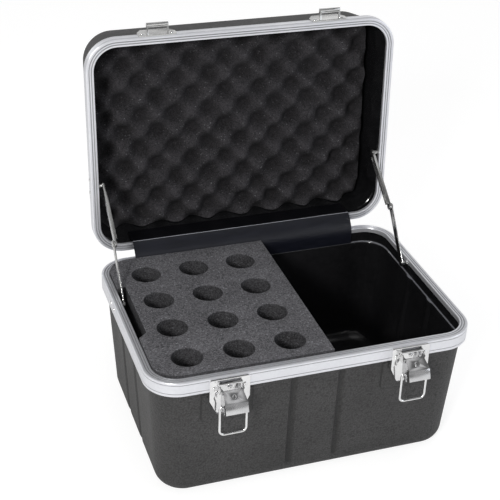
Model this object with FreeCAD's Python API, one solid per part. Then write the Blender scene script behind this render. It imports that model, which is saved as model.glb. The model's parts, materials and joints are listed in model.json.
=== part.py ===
"""Microphone case: a moulded two-part case with bright rims, a foam block with twelve pockets,
egg-crate foam in the lid, draw latches with locks, folding lid stays, hinges and a carrying handle.

Millimetres. X runs along the front, Y to the back, Z up. The origin is the middle of the base's
underside. The lid is modelled closed and then swung open about the hinge line, which is how the
case is shown.
"""
import FreeCAD, Part
import math
import os
from FreeCAD import Vector

os.makedirs("parts", exist_ok=True)

# Main sizes of the case
case_width = 406.0
case_depth = 286.0
base_height = 176.0
lid_height = 90.0
corner_radius = 40.0
shell_wall = 3.5
bottom_edge_radius = 20.0
lid_open_angle = 92.6
rim_gap = 0.4
soft_gap = 0.4
fit_gap = 0.2
running_gap = 0.05
cut_overrun = 5.0

# Extruded rims: each size is measured inwards from the outer face, or away from the rim plane
rim_face_width = 10.1
rim_sheet = 1.8
rim_web = 2.2
rim_inner_sheet = 1.5
rim_edge_radius = 1.5
rim_groove_width = 0.9
rim_groove_depth = 0.5
rim_groove_inset = 3.6
rim_groove_pitch = 2.9
base_rim_height = 19.0
base_rim_inner_height = 6.5
base_rim_lip = 3.1
lid_rim_height = 12.2
lid_rim_inner_height = 4.6
lid_rim_lip = 0.9
rim_lip_sheet = 1.6

# Moulded shells
base_shell_inset = 5.2
base_side_taper = 10.4
base_front_taper = 7.6
base_shoulder_drop = 17.0
lid_shell_inset = 3.0
lid_taper = 10.0
lid_shoulder_rise = 10.2
shoulder_step = 3.5
band_inner_inset = 8.1
neck_inset = 5.1
neck_drop = 25.0
ledge_drop = 21.5

# Upright channels pressed into the base's walls
front_channel_x = 30.0
front_channel_width = 8.7
front_channel_depth = 2.5
front_channel_end = 23.0
side_channel_y = 30.0
side_channel_width = 12.0
side_channel_depth = 2.0
side_channel_end = 12.0

# Raised pads behind the latches
pad_half_width = 31.0
pad_drop = 66.0
pad_block_depth = 20.0
pad_rise = 1.5
pad_corner_radius = 8.0

# Microphone foam: reach and margins are measured from the case's left, front and back outer faces
foam_block_reach = 222.6
foam_proud = 4.0
pocket_radius = 18.75
pocket_columns = 3
pocket_rows = 4
pocket_pitch = 62.8
pocket_side_margin = 53.4
pocket_front_margin = 42.1
foam_pad_thickness = 28.0
foam_bottom_gap = 0.3
notch_depth = 36.0
notch_width = 10.9
notch_front_end = 183.0
notch_back_end = 77.6
notch_tip = 9.0

# Egg-crate foam: peaks stand on a square grid turned by 45 degrees
crate_half_pitch = 23.0
crate_steps_per_half_pitch = 2
crate_amplitude = 9.5
crate_middle_depth = 46.0
crate_phase_x = -12.0
crate_phase_y = -2.0

# Hinges
hinge_offset = 5.2
hinge_rise = 1.2
hinge_end_inset = 108.0
hinge_length = 60.0
hinge_sheet = 1.6
knuckle_radius = 4.4
knuckle_gap = 0.3
middle_knuckle_length = 23.4
hinge_pin_radius = 2.0
hinge_pin_head = 0.8
leaf_edge_gap = 3.2
base_leaf_height = 15.0
lid_leaf_height = 10.6

# Hinge cover strip
cover_end_inset = 51.0
cover_thickness = 1.0
cover_lid_reach = 30.0
cover_base_reach = 32.0

# Latches: out is measured forward from the front face, height from the rim plane
latch_end_inset = 91.0
latch_sheet = 1.5
latch_plate_half_width = 24.0
latch_plate_depth = 3.6
latch_plate_top = 1.5
latch_plate_shoulder = 29.5
latch_plate_bottom = 48.7
latch_plate_foot_half_width = 15.0
latch_plate_corner = 2.5
latch_flange_reach = 4.2
latch_window_half_width = 12.4
latch_window_top = 2.9
strap_top = 5.4
strap_reach = 8.0
ear_gap_half_width = 12.7
ear_sheet = 1.2
ear_reach = 14.5
ear_bottom = 18.4
ear_shoulder_share = 0.4
ear_foot_share = 0.25
lever_axis_out = 11.0
lever_axis_drop = 14.0
lever_rest_angle = 20.0
lever_sheet = 1.4
lever_top_half_width = 11.5
lever_crease_half_width = 13.5
lever_top_out = 4.0
lever_top_rise = 2.3
lever_crease_out = 14.9
lever_crease_drop = 10.2
lever_end_out = 15.2
lever_end_drop = 22.6
lever_back_out = -5.0
lever_back_top_rise = 3.0
lever_back_drop = 20.0
lever_foot_out = 4.5
lever_foot_drop = 24.5
lever_pin_radius = 1.5
lever_pin_overhang = 0.3
tab_radius = 9.6
tab_length = 7.2
tab_lean = 2.1
lock_radius = 3.2
lock_wall = 1.7
lock_length = 7.0
lock_proud = 0.5
lock_share = 0.5
keyway_width = 0.9
keyway_length = 3.6
keyway_depth = 4.0
bail_wire_radius = 1.5
bail_half_width = 16.0
bail_drop = 38.5
bail_corner_radius = 6.0
bail_turn_radius = 2.4
bail_stub_half_width = 10.8
bail_axis_out = 0.7
bail_axis_drop = 16.9

# Lid catches
catch_half_width = 24.0
catch_foot = 1.0
catch_top = 23.5
catch_shoulder = 13.0
catch_top_half_width = 17.0
catch_hook_half_width = 13.5
catch_hook_reach = 15.6
catch_hook_low = 2.0
catch_hook_rise = 3.3
catch_bar_depth = 6.0
catch_bar_height = 5.0
catch_bar_radius = 1.6
catch_slit_depth = 1.6
catch_slit_width = 0.8

# Folding stays: places are measured inwards from the case's side and back faces, and from the rim
stay_sheet = 1.5
stay_plane_inset = 14.9
stay_plane_gap = 0.3
stay_half_width = 5.0
stay_flange = 2.2
stay_flange_sheet = 1.0
stay_base_back = 95.7
stay_base_drop = 9.9
stay_lid_back = 94.0
stay_lid_rise = 8.8
stay_middle_back = 48.8
stay_middle_rise = 50.7
stay_pin_radius = 2.0
stay_stud_radius = 3.0
stay_head_radius = 3.9
stay_head_height = 1.0
stay_bracket_half_length = 13.0
stay_bracket_half_height = 3.2

# Handle on the lid's top
handle_half_length = 58.0
handle_axis_height = 9.4
handle_reach = 34.0
handle_grip_radius = 8.4
handle_grip_end_radius = 6.0
handle_grip_taper = 14.0
handle_arm_sheet = 3.0
handle_arm_half_width = 6.0
handle_pin_radius = 3.0
handle_pin_length = 7.0
handle_bracket_foot_width = 26.0
handle_bracket_foot_depth = 30.0
handle_bracket_sheet = 2.0
handle_bracket_wall = 3.0
handle_tie_radius = 3.0
handle_seat_gap = 0.3

# Rivets
rivet_radius = 3.0
rivet_top_radius = 2.0
rivet_height = 1.0
latch_rivet_x = 18.0
latch_rivet_drop = 12.8
catch_rivet_x = 18.6
catch_rivet_rise = 7.0
hinge_rivet_x = 22.0
base_leaf_rivet_drop = 9.5
lid_leaf_rivet_rise = 8.6
stay_rivet_spacing = 8.5
handle_rivet_y = 10.0

# Places worked out from the sizes
half_width = case_width / 2
half_depth = case_depth / 2
rim_z = base_height
lid_rim_z = rim_z + rim_gap
lid_top_z = lid_rim_z + lid_height
hinge_y = half_depth + hinge_offset
hinge_z = rim_z + hinge_rise
ledge_z = rim_z - ledge_drop
neck_z = rim_z - neck_drop
latch_x = half_width - latch_end_inset
hinge_x = half_width - hinge_end_inset
cover_half_length = half_width - cover_end_inset
stay_plane = half_width - stay_plane_inset
stay_base_y = half_depth - stay_base_back
stay_lid_y = half_depth - stay_lid_back
stay_middle_y = half_depth - stay_middle_back
notch_front_y = half_depth - notch_front_end
notch_back_y = half_depth - notch_back_end
pocket_first_x = pocket_side_margin - half_width
pocket_first_y = pocket_front_margin - half_depth
quarter_turn = 90.0
full_turn = 360.0
X_AXIS = Vector(1, 0, 0)
Z_AXIS = Vector(0, 0, 1)


def rounded_wire(width, depth, radius, z):
    """Rectangle with rounded corners, centred on the Z axis, at height z."""
    a = width / 2
    b = depth / 2
    r = radius
    s = r * math.sqrt(0.5)
    edges = []
    for sx, sy in ((1, 1), (-1, 1), (-1, -1), (1, -1)):
        centre = Vector(sx * (a - r), sy * (b - r), z)
        on_side = centre + Vector(sx * r, 0, 0)
        on_end = centre + Vector(0, sy * r, 0)
        middle = centre + Vector(sx * s, sy * s, 0)
        if sx * sy > 0:
            edges.append((on_side, middle, on_end))
        else:
            edges.append((on_end, middle, on_side))
    parts = []
    for number, (start, middle, end) in enumerate(edges):
        parts.append(Part.Arc(start, middle, end).toShape())
        parts.append(Part.makeLine(end, edges[(number + 1) % len(edges)][0]))
    return Part.Wire(parts)


def prism(inset, z_low, z_high):
    """Upright block whose outline lies a steady inset inside the case's outer faces."""
    wire = rounded_wire(case_width - 2 * inset, case_depth - 2 * inset, corner_radius - inset, z_low)
    return Part.Face(wire).extrude(Vector(0, 0, z_high - z_low))


def ring(outer_inset, inner_inset, z_low, z_high):
    """Band that runs round the case between two insets."""
    return prism(outer_inset, z_low, z_high).cut(prism(inner_inset, z_low, z_high))


def level_edges(shape, z):
    """Edges that lie flat at the height z."""
    flat = [e for e in shape.Edges if e.BoundBox.ZLength < fit_gap]
    return [e for e in flat if abs(e.CenterOfMass.z - z) < fit_gap]


def drafted_block(z_start, z_end, inset, side_taper, front_taper, travel, extra, edge_radius):
    """Block that narrows away from the rim, with a rounded edge at its far end."""
    wires = []
    for z in (z_start, z_end):
        share = abs(z - rim_z) / travel
        width = case_width - 2 * (inset + side_taper * share + extra)
        depth = case_depth - 2 * (inset + front_taper * share + extra)
        wires.append(rounded_wire(width, depth, corner_radius - inset - extra, z))
    block = Part.makeLoft(wires, True, True)
    return block.makeFillet(edge_radius, level_edges(block, z_end))


def base_block(extra, z_start, z_end, edge_radius):
    """Space inside the base's drafted walls, drawn in by extra."""
    return drafted_block(z_start, z_end, base_shell_inset, base_side_taper, base_front_taper,
                         base_height, extra, edge_radius)


def lid_block(extra, z_start, z_end, edge_radius):
    """Space inside the lid's drafted walls, drawn in by extra."""
    return drafted_block(z_start, z_end, lid_shell_inset, lid_taper, lid_taper,
                         lid_height, extra, edge_radius)


def open_lid(shape):
    """Swings a piece of the closed lid to the open position."""
    shape.rotate(Vector(0, hinge_y, hinge_z), X_AXIS, -lid_open_angle)
    return shape


def across(points, x_low, x_high):
    """Plate cut to an outline of (y, z) points and laid across the case from x_low to x_high."""
    corners = [Vector(x_low, y, z) for y, z in points]
    face = Part.Face(Part.makePolygon(corners + corners[:1]))
    return face.extrude(Vector(x_high - x_low, 0, 0))


def at_latch(shape, side, open_with_lid=False):
    """Moves a piece drawn about the latch's own middle, rim plane and front face to its place."""
    moved = shape.copy()
    moved.translate(Vector(side * latch_x, -half_depth, rim_z))
    return open_lid(moved) if open_with_lid else moved


def swing_lever(shape):
    """Turns a piece of the shut lever to where it stands at rest."""
    shape.rotate(Vector(0, -lever_axis_out, -lever_axis_drop), X_AXIS, -lever_rest_angle)
    return shape


def rivet_head(base, direction):
    """Low set head, flat side on the sheet that it holds."""
    return Part.makeCone(rivet_radius, rivet_top_radius, rivet_height, base, direction)


def save(name, shape):
    """Writes one piece of the case."""
    if not shape.isValid():
        print("not valid:", name)
    shape.exportStep("parts/" + name + ".step")
    print(name, "solids", len(shape.Solids), "volume", round(shape.Volume))


def channel_tool(width, depth, z_end, wall):
    """Round-bottomed channel cutter, upright at the origin, whose wall faces +Y; wall makes it fatter."""
    radius = (width ** 2 / 4 + depth ** 2) / (2 * depth)
    stand_off = radius - depth
    length = rim_z + cut_overrun - z_end
    body = Part.makeCylinder(radius + wall, length, Vector(0, -stand_off, z_end), Z_AXIS)
    return body.fuse(Part.makeSphere(radius + wall, Vector(0, -stand_off, z_end)))


def channels(wall):
    """The channel cutters of the front and the sides, each leaning with the drafted wall that it follows."""
    front_lean = math.degrees(math.atan(base_front_taper / base_height))
    side_lean = math.degrees(math.atan(base_side_taper / base_height))
    tools = []
    for x in (-front_channel_x, front_channel_x):
        tool = channel_tool(front_channel_width, front_channel_depth, front_channel_end, wall)
        tool.rotate(Vector(0, 0, rim_z), X_AXIS, front_lean)
        tool.translate(Vector(x, -half_depth + base_shell_inset, 0))
        tools.append(tool)
    for y in (-side_channel_y, side_channel_y):
        for turn in (quarter_turn, -quarter_turn):
            tool = channel_tool(side_channel_width, side_channel_depth, side_channel_end, wall)
            tool.rotate(Vector(0, 0, rim_z), X_AXIS, side_lean)
            tool.translate(Vector(y, -half_width + base_shell_inset, 0))
            tool.rotate(Vector(0, 0, 0), Z_AXIS, turn)
            tools.append(tool)
    return tools


def latch_pads():
    """Raised pads on the front wall behind the latches, up to the neck."""
    pads = []
    for side in (-1, 1):
        low = rim_z - pad_drop
        width = 2 * pad_half_width
        start = Vector(side * latch_x - pad_half_width, -half_depth - cut_overrun, low)
        block = Part.makeBox(width, pad_block_depth, pad_drop - neck_drop, start)
        corners = [e for e in level_edges(block, low) if e.BoundBox.XLength < fit_gap]
        pads.append(block.makeFillet(pad_corner_radius, corners))
    skin = base_block(-pad_rise, rim_z - base_shoulder_drop, 0, bottom_edge_radius)
    return [pad.common(skin) for pad in pads]


def base_shell():
    """Moulded tub: thick band in the rim, neck just below it, drafted walls and a rounded bottom."""
    band_top = rim_z - rim_web - fit_gap
    shoulder = rim_z - base_shoulder_drop
    outer = base_block(0, shoulder, 0, bottom_edge_radius)
    outer = outer.cut(channels(0))
    outer = outer.fuse(latch_pads())
    outer = outer.fuse(prism(neck_inset, neck_z, shoulder))
    outer = outer.fuse(prism(rim_sheet + fit_gap, shoulder, band_top))
    hollow = base_block(shell_wall, ledge_z, shell_wall, bottom_edge_radius - shell_wall)
    hollow = hollow.cut(channels(shell_wall))
    band_hollow = prism(band_inner_inset, ledge_z, band_top + cut_overrun)
    return outer.cut(hollow).cut(band_hollow)


def rim(height, inner_height, lip, z, away):
    """Extruded rim: face on the rim plane at z, flanges running away (+1 up or -1 down) from it."""
    def span(near, far):
        ends = sorted((z + away * near, z + away * far))
        return ends[0], ends[1]
    band = prism(0, *span(0, height))
    band = band.makeFillet(rim_edge_radius, level_edges(band, z))
    band = band.cut(prism(rim_sheet, *span(rim_web, height)))
    band = band.cut(prism(rim_face_width, *span(-cut_overrun, height)))
    band = band.fuse(ring(rim_sheet - fit_gap, rim_sheet + lip, *span(height - rim_lip_sheet, height)))
    band = band.fuse(ring(rim_face_width - rim_inner_sheet, rim_face_width, *span(rim_web, inner_height)))
    for number in range(2):
        inset = rim_groove_inset + number * rim_groove_pitch
        band = band.cut(ring(inset, inset + rim_groove_width, *span(0, rim_groove_depth)))
    return band.removeSplitter()


def lid_shell():
    """Moulded lid: a straight band inside the rim, a shoulder, drafted walls and a rounded top."""
    band_low = lid_rim_z + rim_web + fit_gap
    shoulder = lid_rim_z + lid_shoulder_rise
    ledge = shoulder + shoulder_step
    outer = lid_block(0, shoulder, lid_top_z, bottom_edge_radius)
    outer = outer.fuse(prism(rim_sheet + fit_gap, band_low, shoulder))
    hollow = lid_block(shell_wall, ledge, lid_top_z - shell_wall, bottom_edge_radius - shell_wall)
    band_hollow = prism(band_inner_inset, band_low - cut_overrun, ledge)
    return outer.cut(hollow).cut(band_hollow)


def mic_foam():
    """Foam block with its round pockets, and the pad that closes them below."""
    wall = shell_wall + soft_gap
    floor = shell_wall + foam_bottom_gap
    space = base_block(wall, rim_z + foam_proud, floor, bottom_edge_radius - shell_wall)
    mouth = prism(rim_face_width + soft_gap, 0, rim_z + foam_proud)
    cover_room = rim_face_width + 2 * soft_gap + cover_thickness
    corner = Vector(-half_width, -half_depth, 0)
    left_part = Part.makeBox(foam_block_reach, case_depth - cover_room, lid_top_z, corner)
    space = space.common(mouth).common(left_part).cut(channels(wall))
    pad_top = floor + foam_pad_thickness
    below = Part.makeBox(case_width, case_depth, pad_top, corner)
    above = Part.makeBox(case_width, case_depth, lid_top_z, corner + Z_AXIS * (pad_top + soft_gap))
    pad = space.common(below)
    block = space.common(above)
    pockets = []
    for column in range(pocket_columns):
        for row in range(pocket_rows):
            x = pocket_first_x + column * pocket_pitch
            y = pocket_first_y + row * pocket_pitch
            pockets.append(Part.makeCylinder(pocket_radius, base_height, Vector(x, y, pad_top), Z_AXIS))
    block = block.cut(pockets)
    return block.cut(stay_notch()), pad


def stay_notch():
    """Slot in the foam's left edge where the folded stay lies, with a slanted front end."""
    left = -half_width
    right = -half_width + rim_face_width + soft_gap + notch_width
    low = rim_z - notch_depth
    corners = [Vector(left, notch_front_y - notch_tip, low), Vector(left, notch_back_y, low),
               Vector(right, notch_back_y, low), Vector(right, notch_front_y, low)]
    corners.insert(0, Vector(right - notch_width, notch_front_y - notch_tip, low))
    face = Part.Face(Part.makePolygon(corners + corners[:1]))
    return face.extrude(Vector(0, 0, notch_depth + foam_proud + cut_overrun))


def egg_crate():
    """Foam sheet with peaks and hollows: the surface follows the product of two cosine waves."""
    step = crate_half_pitch / crate_steps_per_half_pitch
    count_x = int(half_width / step)
    count_y = int(half_depth / step)
    middle = lid_rim_z + crate_middle_depth
    top = lid_top_z + cut_overrun
    origin_x = crate_phase_x
    origin_y = crate_phase_y

    def surface(i, j):
        turn = math.pi / crate_steps_per_half_pitch
        wave = math.cos(turn * i) * math.cos(turn * j)
        return Vector(origin_x + i * step, origin_y + j * step, middle - crate_amplitude * wave)

    def lifted(i, j):
        point = surface(i, j)
        return Vector(point.x, point.y, top)

    def facet(*corners):
        return Part.Face(Part.makePolygon(list(corners) + [corners[0]]))

    i_range = range(-count_x, count_x)
    j_range = range(-count_y, count_y)
    faces = []
    for i in i_range:
        for j in j_range:
            a, b, c, d = surface(i, j), surface(i + 1, j), surface(i + 1, j + 1), surface(i, j + 1)
            if (i + j) % 2 == 0:
                faces += [facet(a, b, c), facet(a, c, d)]
            else:
                faces += [facet(a, b, d), facet(b, c, d)]
    for i in i_range:
        for j in (-count_y, count_y):
            faces.append(facet(surface(i, j), surface(i + 1, j), lifted(i + 1, j), lifted(i, j)))
    for j in j_range:
        for i in (-count_x, count_x):
            faces.append(facet(surface(i, j), surface(i, j + 1), lifted(i, j + 1), lifted(i, j)))
    rim_points = [lifted(i, -count_y) for i in range(-count_x, count_x)]
    rim_points += [lifted(count_x, j) for j in range(-count_y, count_y)]
    rim_points += [lifted(i, count_y) for i in range(count_x, -count_x, -1)]
    rim_points += [lifted(-count_x, j) for j in range(count_y, -count_y, -1)]
    faces.append(Part.Face(Part.makePolygon(rim_points + rim_points[:1])))
    sheet = Part.Solid(Part.Shell(faces))
    space = lid_block(shell_wall + soft_gap, lid_rim_z + lid_shoulder_rise + shoulder_step,
                      lid_top_z - shell_wall - foam_bottom_gap, bottom_edge_radius - shell_wall)
    return space.common(sheet)


def hinge_cover():
    """Soft strip over the hinge line, from inside the open lid to inside the base's back wall."""
    inner_y = half_depth - rim_face_width - soft_gap
    lid_z = hinge_z + hinge_offset + rim_face_width + soft_gap
    lid_y = hinge_y - soft_gap
    top = [(lid_y + cover_lid_reach, lid_z), (lid_y, lid_z)]
    bottom = [(inner_y, rim_z + soft_gap), (inner_y, rim_z - cover_base_reach)]
    path = top + bottom
    outer = mitred(path, -cover_thickness)
    return across(path + outer[::-1], -cover_half_length, cover_half_length)


def mitred(points, offset):
    """Copy of an open chain of points, moved sideways by offset with mitred corners."""
    moved = []
    for number, (u, v) in enumerate(points):
        sides = []
        for first, second in ((number - 1, number), (number, number + 1)):
            if first >= 0 and second < len(points):
                du = points[second][0] - points[first][0]
                dv = points[second][1] - points[first][1]
                size = math.hypot(du, dv)
                sides.append((-dv / size, du / size))
        nu = sum(s[0] for s in sides) / len(sides)
        nv = sum(s[1] for s in sides) / len(sides)
        stretch = nu * nu + nv * nv
        moved.append((u + offset * nu / stretch, v + offset * nv / stretch))
    return moved


def hinge_leaf(height, low_side, knuckles):
    """Leaf on the back face with its knuckles, drawn with the hinge line through the origin."""
    near = -hinge_offset
    far = near + hinge_sheet
    sign = -1 if low_side else 1
    z_pair = sorted((sign * leaf_edge_gap, sign * (height - hinge_rise * sign)))
    leaf = Part.makeBox(hinge_length, far - near, z_pair[1] - z_pair[0],
                        Vector(-hinge_length / 2, near, z_pair[0]))
    for x_low, x_high in knuckles:
        length = x_high - x_low
        barrel = Part.makeCylinder(knuckle_radius, length, Vector(x_low, 0, 0), X_AXIS)
        web_low = min(0, sign * leaf_edge_gap)
        web = Part.makeBox(length, far - near, leaf_edge_gap, Vector(x_low, near, web_low))
        leaf = leaf.fuse([barrel, web])
    bore = Part.makeCylinder(hinge_pin_radius + running_gap, hinge_length + 2 * cut_overrun,
                             Vector(-hinge_length / 2 - cut_overrun, 0, 0), X_AXIS)
    return leaf.cut(bore).removeSplitter()


def hinge_parts(side):
    """Base leaf, lid leaf and pin of one hinge, at their places."""
    half = hinge_length / 2
    middle = middle_knuckle_length / 2
    place = Vector(side * hinge_x, hinge_y, hinge_z)
    outer_knuckles = ((-half, -middle - knuckle_gap), (middle + knuckle_gap, half))
    base_leaf = hinge_leaf(base_leaf_height, True, outer_knuckles)
    lid_leaf = hinge_leaf(lid_leaf_height, False, ((-middle, middle),))
    pin = Part.makeCylinder(hinge_pin_radius, hinge_length, Vector(-half, 0, 0), X_AXIS)
    for x in (-half - hinge_pin_head, half):
        head_radius = hinge_pin_radius + hinge_pin_head
        pin = pin.fuse(Part.makeCylinder(head_radius, hinge_pin_head, Vector(x, 0, 0), X_AXIS))
    for piece in (base_leaf, lid_leaf, pin):
        piece.translate(place)
    return base_leaf, open_lid(lid_leaf), pin


def latch_plate():
    """Pressed tray that carries the lever: face, back-turned edge, slot, strap and two ears."""
    def outline(inset, depth_low, depth_high):
        corners = [(-latch_plate_half_width + inset, -latch_plate_top - inset),
                   (latch_plate_half_width - inset, -latch_plate_top - inset),
                   (latch_plate_half_width - inset, -latch_plate_shoulder),
                   (latch_plate_foot_half_width - inset, -latch_plate_bottom + inset),
                   (-latch_plate_foot_half_width + inset, -latch_plate_bottom + inset),
                   (-latch_plate_half_width + inset, -latch_plate_shoulder)]
        vectors = [Vector(x, -depth_low, z) for x, z in corners]
        face = Part.Face(Part.makePolygon(vectors + vectors[:1]))
        block = face.extrude(Vector(0, depth_low - depth_high, 0))
        upright = [e for e in block.Edges if e.BoundBox.XLength < fit_gap and e.BoundBox.ZLength < fit_gap]
        return block.makeFillet(max(latch_plate_corner - inset, running_gap), upright)
    tray = outline(0, -latch_flange_reach, latch_plate_depth)
    tray = tray.cut(outline(latch_sheet, -latch_flange_reach - cut_overrun, latch_plate_depth - latch_sheet))
    behind = Part.makeBox(case_width, case_depth, base_rim_height + fit_gap,
                          Vector(-half_width, 0, -base_rim_height - fit_gap))
    tray = tray.cut(behind)
    window = Part.makeBox(2 * latch_window_half_width, 2 * latch_sheet, strap_top - latch_window_top,
                          Vector(-latch_window_half_width, -latch_plate_depth - latch_sheet / 2, -strap_top))
    tray = tray.cut(window)
    near = latch_plate_depth - latch_sheet
    ear_height = ear_bottom - strap_top
    strap = Part.makeBox(2 * (ear_gap_half_width + ear_sheet), strap_reach - near, latch_sheet,
                         Vector(-ear_gap_half_width - ear_sheet, -strap_reach, -strap_top - latch_sheet))
    pieces = [strap]
    for side in (-1, 1):
        x_low = side * ear_gap_half_width if side > 0 else -ear_gap_half_width - ear_sheet
        points = [(-near, -strap_top - latch_sheet), (-strap_reach, -strap_top - latch_sheet),
                  (-ear_reach, -strap_top - ear_height * ear_shoulder_share),
                  (-ear_reach, -ear_bottom + ear_height * ear_foot_share),
                  (-strap_reach, -ear_bottom), (-near, -ear_bottom)]
        pieces.append(across(points, x_low, x_low + ear_sheet))
    tray = tray.fuse(pieces)
    hole = Part.makeCylinder(lever_pin_radius, 2 * latch_plate_half_width,
                             Vector(-latch_plate_half_width, -lever_axis_out, -lever_axis_drop), X_AXIS)
    return tray.cut(hole).removeSplitter()


def lever_section(half, face_point, back_point):
    """Rectangle across the lever between a point on its face and one on its open back."""
    corners = [Vector(-half, -face_point[0], face_point[1]), Vector(half, -face_point[0], face_point[1]),
               Vector(half, -back_point[0], back_point[1]), Vector(-half, -back_point[0], back_point[1])]
    return Part.makePolygon(corners + corners[:1])


def beyond(first, second, distance):
    """Point past the second one, on the line from the first."""
    du = second[0] - first[0]
    dv = second[1] - first[1]
    share = 1 + distance / math.hypot(du, dv)
    return (first[0] + du * share, first[1] + dv * share)


def latch_lever():
    """Pressed lever: sloped lock face, end face with a half-round tab, two cheeks and a lock barrel."""
    out = lever_axis_out
    drop = -lever_axis_drop
    top = (out + lever_top_out, drop + lever_top_rise)
    crease = (out + lever_crease_out, drop - lever_crease_drop)
    end = (out + lever_end_out, drop - lever_end_drop)
    back_top = (out + lever_back_out, drop + lever_back_top_rise)
    back = (out + lever_back_out, drop - lever_back_drop)
    foot = (out + lever_foot_out, drop - lever_foot_drop)
    sections = [lever_section(lever_top_half_width, top, back_top),
                lever_section(lever_crease_half_width, crease, back),
                lever_section(lever_crease_half_width, end, foot)]
    lever = Part.makeLoft(sections, True, True)
    inner_face = mitred([top, crease, end], -lever_sheet)
    inner_face[0] = beyond(inner_face[1], inner_face[0], cut_overrun)
    inner_face[2] = beyond(inner_face[1], inner_face[2], cut_overrun)
    inner_top_back = beyond(inner_face[0], (back_top[0], back_top[1] + cut_overrun), cut_overrun)
    inner_back = beyond(crease, back, cut_overrun)
    inner_foot = beyond(inner_face[2], (foot[0], foot[1] - cut_overrun), cut_overrun * 2)
    hollow = [lever_section(lever_top_half_width - lever_sheet, inner_face[0], inner_top_back),
              lever_section(lever_crease_half_width - lever_sheet, inner_face[1], inner_back),
              lever_section(lever_crease_half_width - lever_sheet, inner_face[2], inner_foot)]
    lever = lever.cut(Part.makeLoft(hollow, True, True))
    lever = lever.fuse(thumb_tab(end))
    place, normal = lock_place(top, crease)
    start = place - normal * lock_length
    barrel = Part.makeCylinder(lock_radius + lock_wall, lock_length - lever_sheet / 2, start, normal)
    bore_start = start - normal * cut_overrun
    bore = Part.makeCylinder(lock_radius + running_gap, lock_length + 2 * cut_overrun, bore_start, normal)
    pin_hole = Part.makeCylinder(lever_pin_radius + running_gap, 2 * latch_plate_half_width,
                                 Vector(-latch_plate_half_width, -out, drop), X_AXIS)
    bail_start = Vector(-latch_plate_half_width, -out - bail_axis_out, drop - bail_axis_drop)
    bail_hole_radius = bail_wire_radius + running_gap
    bail_hole = Part.makeCylinder(bail_hole_radius, 2 * latch_plate_half_width, bail_start, X_AXIS)
    return lever.fuse(barrel).cut([bore, pin_hole, bail_hole]).removeSplitter()


def thumb_tab(end):
    """Half-round tab on the lever's lower edge."""
    lower = (end[0] - tab_lean, end[1] - tab_length)
    size = math.hypot(tab_lean, tab_length)
    direction = Vector(0, tab_lean / size, -tab_length / size)
    normal = Vector(0, -tab_length / size, -tab_lean / size)
    centre = Vector(0, -end[0], end[1])
    disc = Part.makeCylinder(tab_radius, lever_sheet, centre - normal * lever_sheet, normal)
    reach = Part.makeBox(2 * tab_radius, size, 2 * lever_sheet)
    reach.translate(Vector(-tab_radius, 0, -lever_sheet))
    turn = FreeCAD.Rotation(X_AXIS, direction, normal, "XYZ")
    corner = centre - X_AXIS * tab_radius - normal * (lever_sheet + lever_sheet / 2)
    reach.Placement = FreeCAD.Placement(corner, turn)
    return disc.common(reach)


def lock_place(top, crease):
    """Middle of the lock on the lever's sloped face, and the face's outward direction."""
    out = top[0] + (crease[0] - top[0]) * lock_share
    z = top[1] + (crease[1] - top[1]) * lock_share
    size = math.hypot(crease[0] - top[0], crease[1] - top[1])
    normal = Vector(0, (crease[1] - top[1]) / size, (crease[0] - top[0]) / size)
    return Vector(0, -out, z), normal


def lock_plug():
    """Turning plug of the lock, with its keyway."""
    out = lever_axis_out
    drop = -lever_axis_drop
    place, normal = lock_place((out + lever_top_out, drop + lever_top_rise),
                               (out + lever_crease_out, drop - lever_crease_drop))
    plug = Part.makeCylinder(lock_radius, lock_length + lock_proud, place - normal * lock_length, normal)
    slot = Part.makeBox(keyway_width, keyway_length, keyway_depth)
    turn = FreeCAD.Rotation(X_AXIS, normal.cross(X_AXIS), normal, "XYZ")
    corner = place + normal * (lock_proud - keyway_depth / 2) - X_AXIS * (keyway_width / 2)
    slot.Placement = FreeCAD.Placement(corner - normal.cross(X_AXIS) * (keyway_length / 2), turn)
    return plug.cut(slot)


def bail_pivot():
    """Bail's hinge point at rest, as (out, z) from the front face and the rim plane."""
    angle = math.radians(lever_rest_angle)
    out = bail_axis_out * math.cos(angle) + bail_axis_drop * math.sin(angle)
    drop = bail_axis_drop * math.cos(angle) - bail_axis_out * math.sin(angle)
    return (lever_axis_out + out, -lever_axis_drop - drop)


def bent_wire(corners, radii, wire_radius):
    """Round wire along straight runs joined by tangent arcs."""
    edges = []
    start = corners[0]
    for number in range(1, len(corners) - 1):
        before = (corners[number - 1] - corners[number]).normalize()
        after = (corners[number + 1] - corners[number]).normalize()
        half_angle = before.getAngle(after) / 2
        radius = radii[number - 1]
        trim = radius / math.tan(half_angle)
        bisector = (before + after).normalize()
        centre = corners[number] + bisector * (radius / math.sin(half_angle))
        first = corners[number] + before * trim
        last = corners[number] + after * trim
        edges.append(Part.makeLine(start, first))
        edges.append(Part.Arc(first, centre - bisector * radius, last).toShape())
        start = last
    edges.append(Part.makeLine(start, corners[-1]))
    path = Part.Wire(edges)
    section = Part.Wire(Part.makeCircle(wire_radius, corners[0], corners[1] - corners[0]))
    return path.makePipeShell([section], True, False)


def latch_bail():
    """Wire loop that pulls on the lid catch, hanging from the lever's cheeks."""
    out, z = bail_pivot()
    corners = [Vector(-bail_stub_half_width, -out, z), Vector(-bail_half_width, -out, z),
               Vector(-bail_half_width, -out, z - bail_drop), Vector(bail_half_width, -out, z - bail_drop),
               Vector(bail_half_width, -out, z), Vector(bail_stub_half_width, -out, z)]
    radii = [bail_turn_radius, bail_corner_radius, bail_corner_radius, bail_turn_radius]
    return bent_wire(corners, radii, bail_wire_radius)


def lever_pin():
    """Pin through the plate's ears and the lever's cheeks."""
    half = ear_gap_half_width + ear_sheet + lever_pin_overhang
    start = Vector(-half, -lever_axis_out, -lever_axis_drop)
    return Part.makeCylinder(lever_pin_radius, 2 * half, start, X_AXIS)


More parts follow.
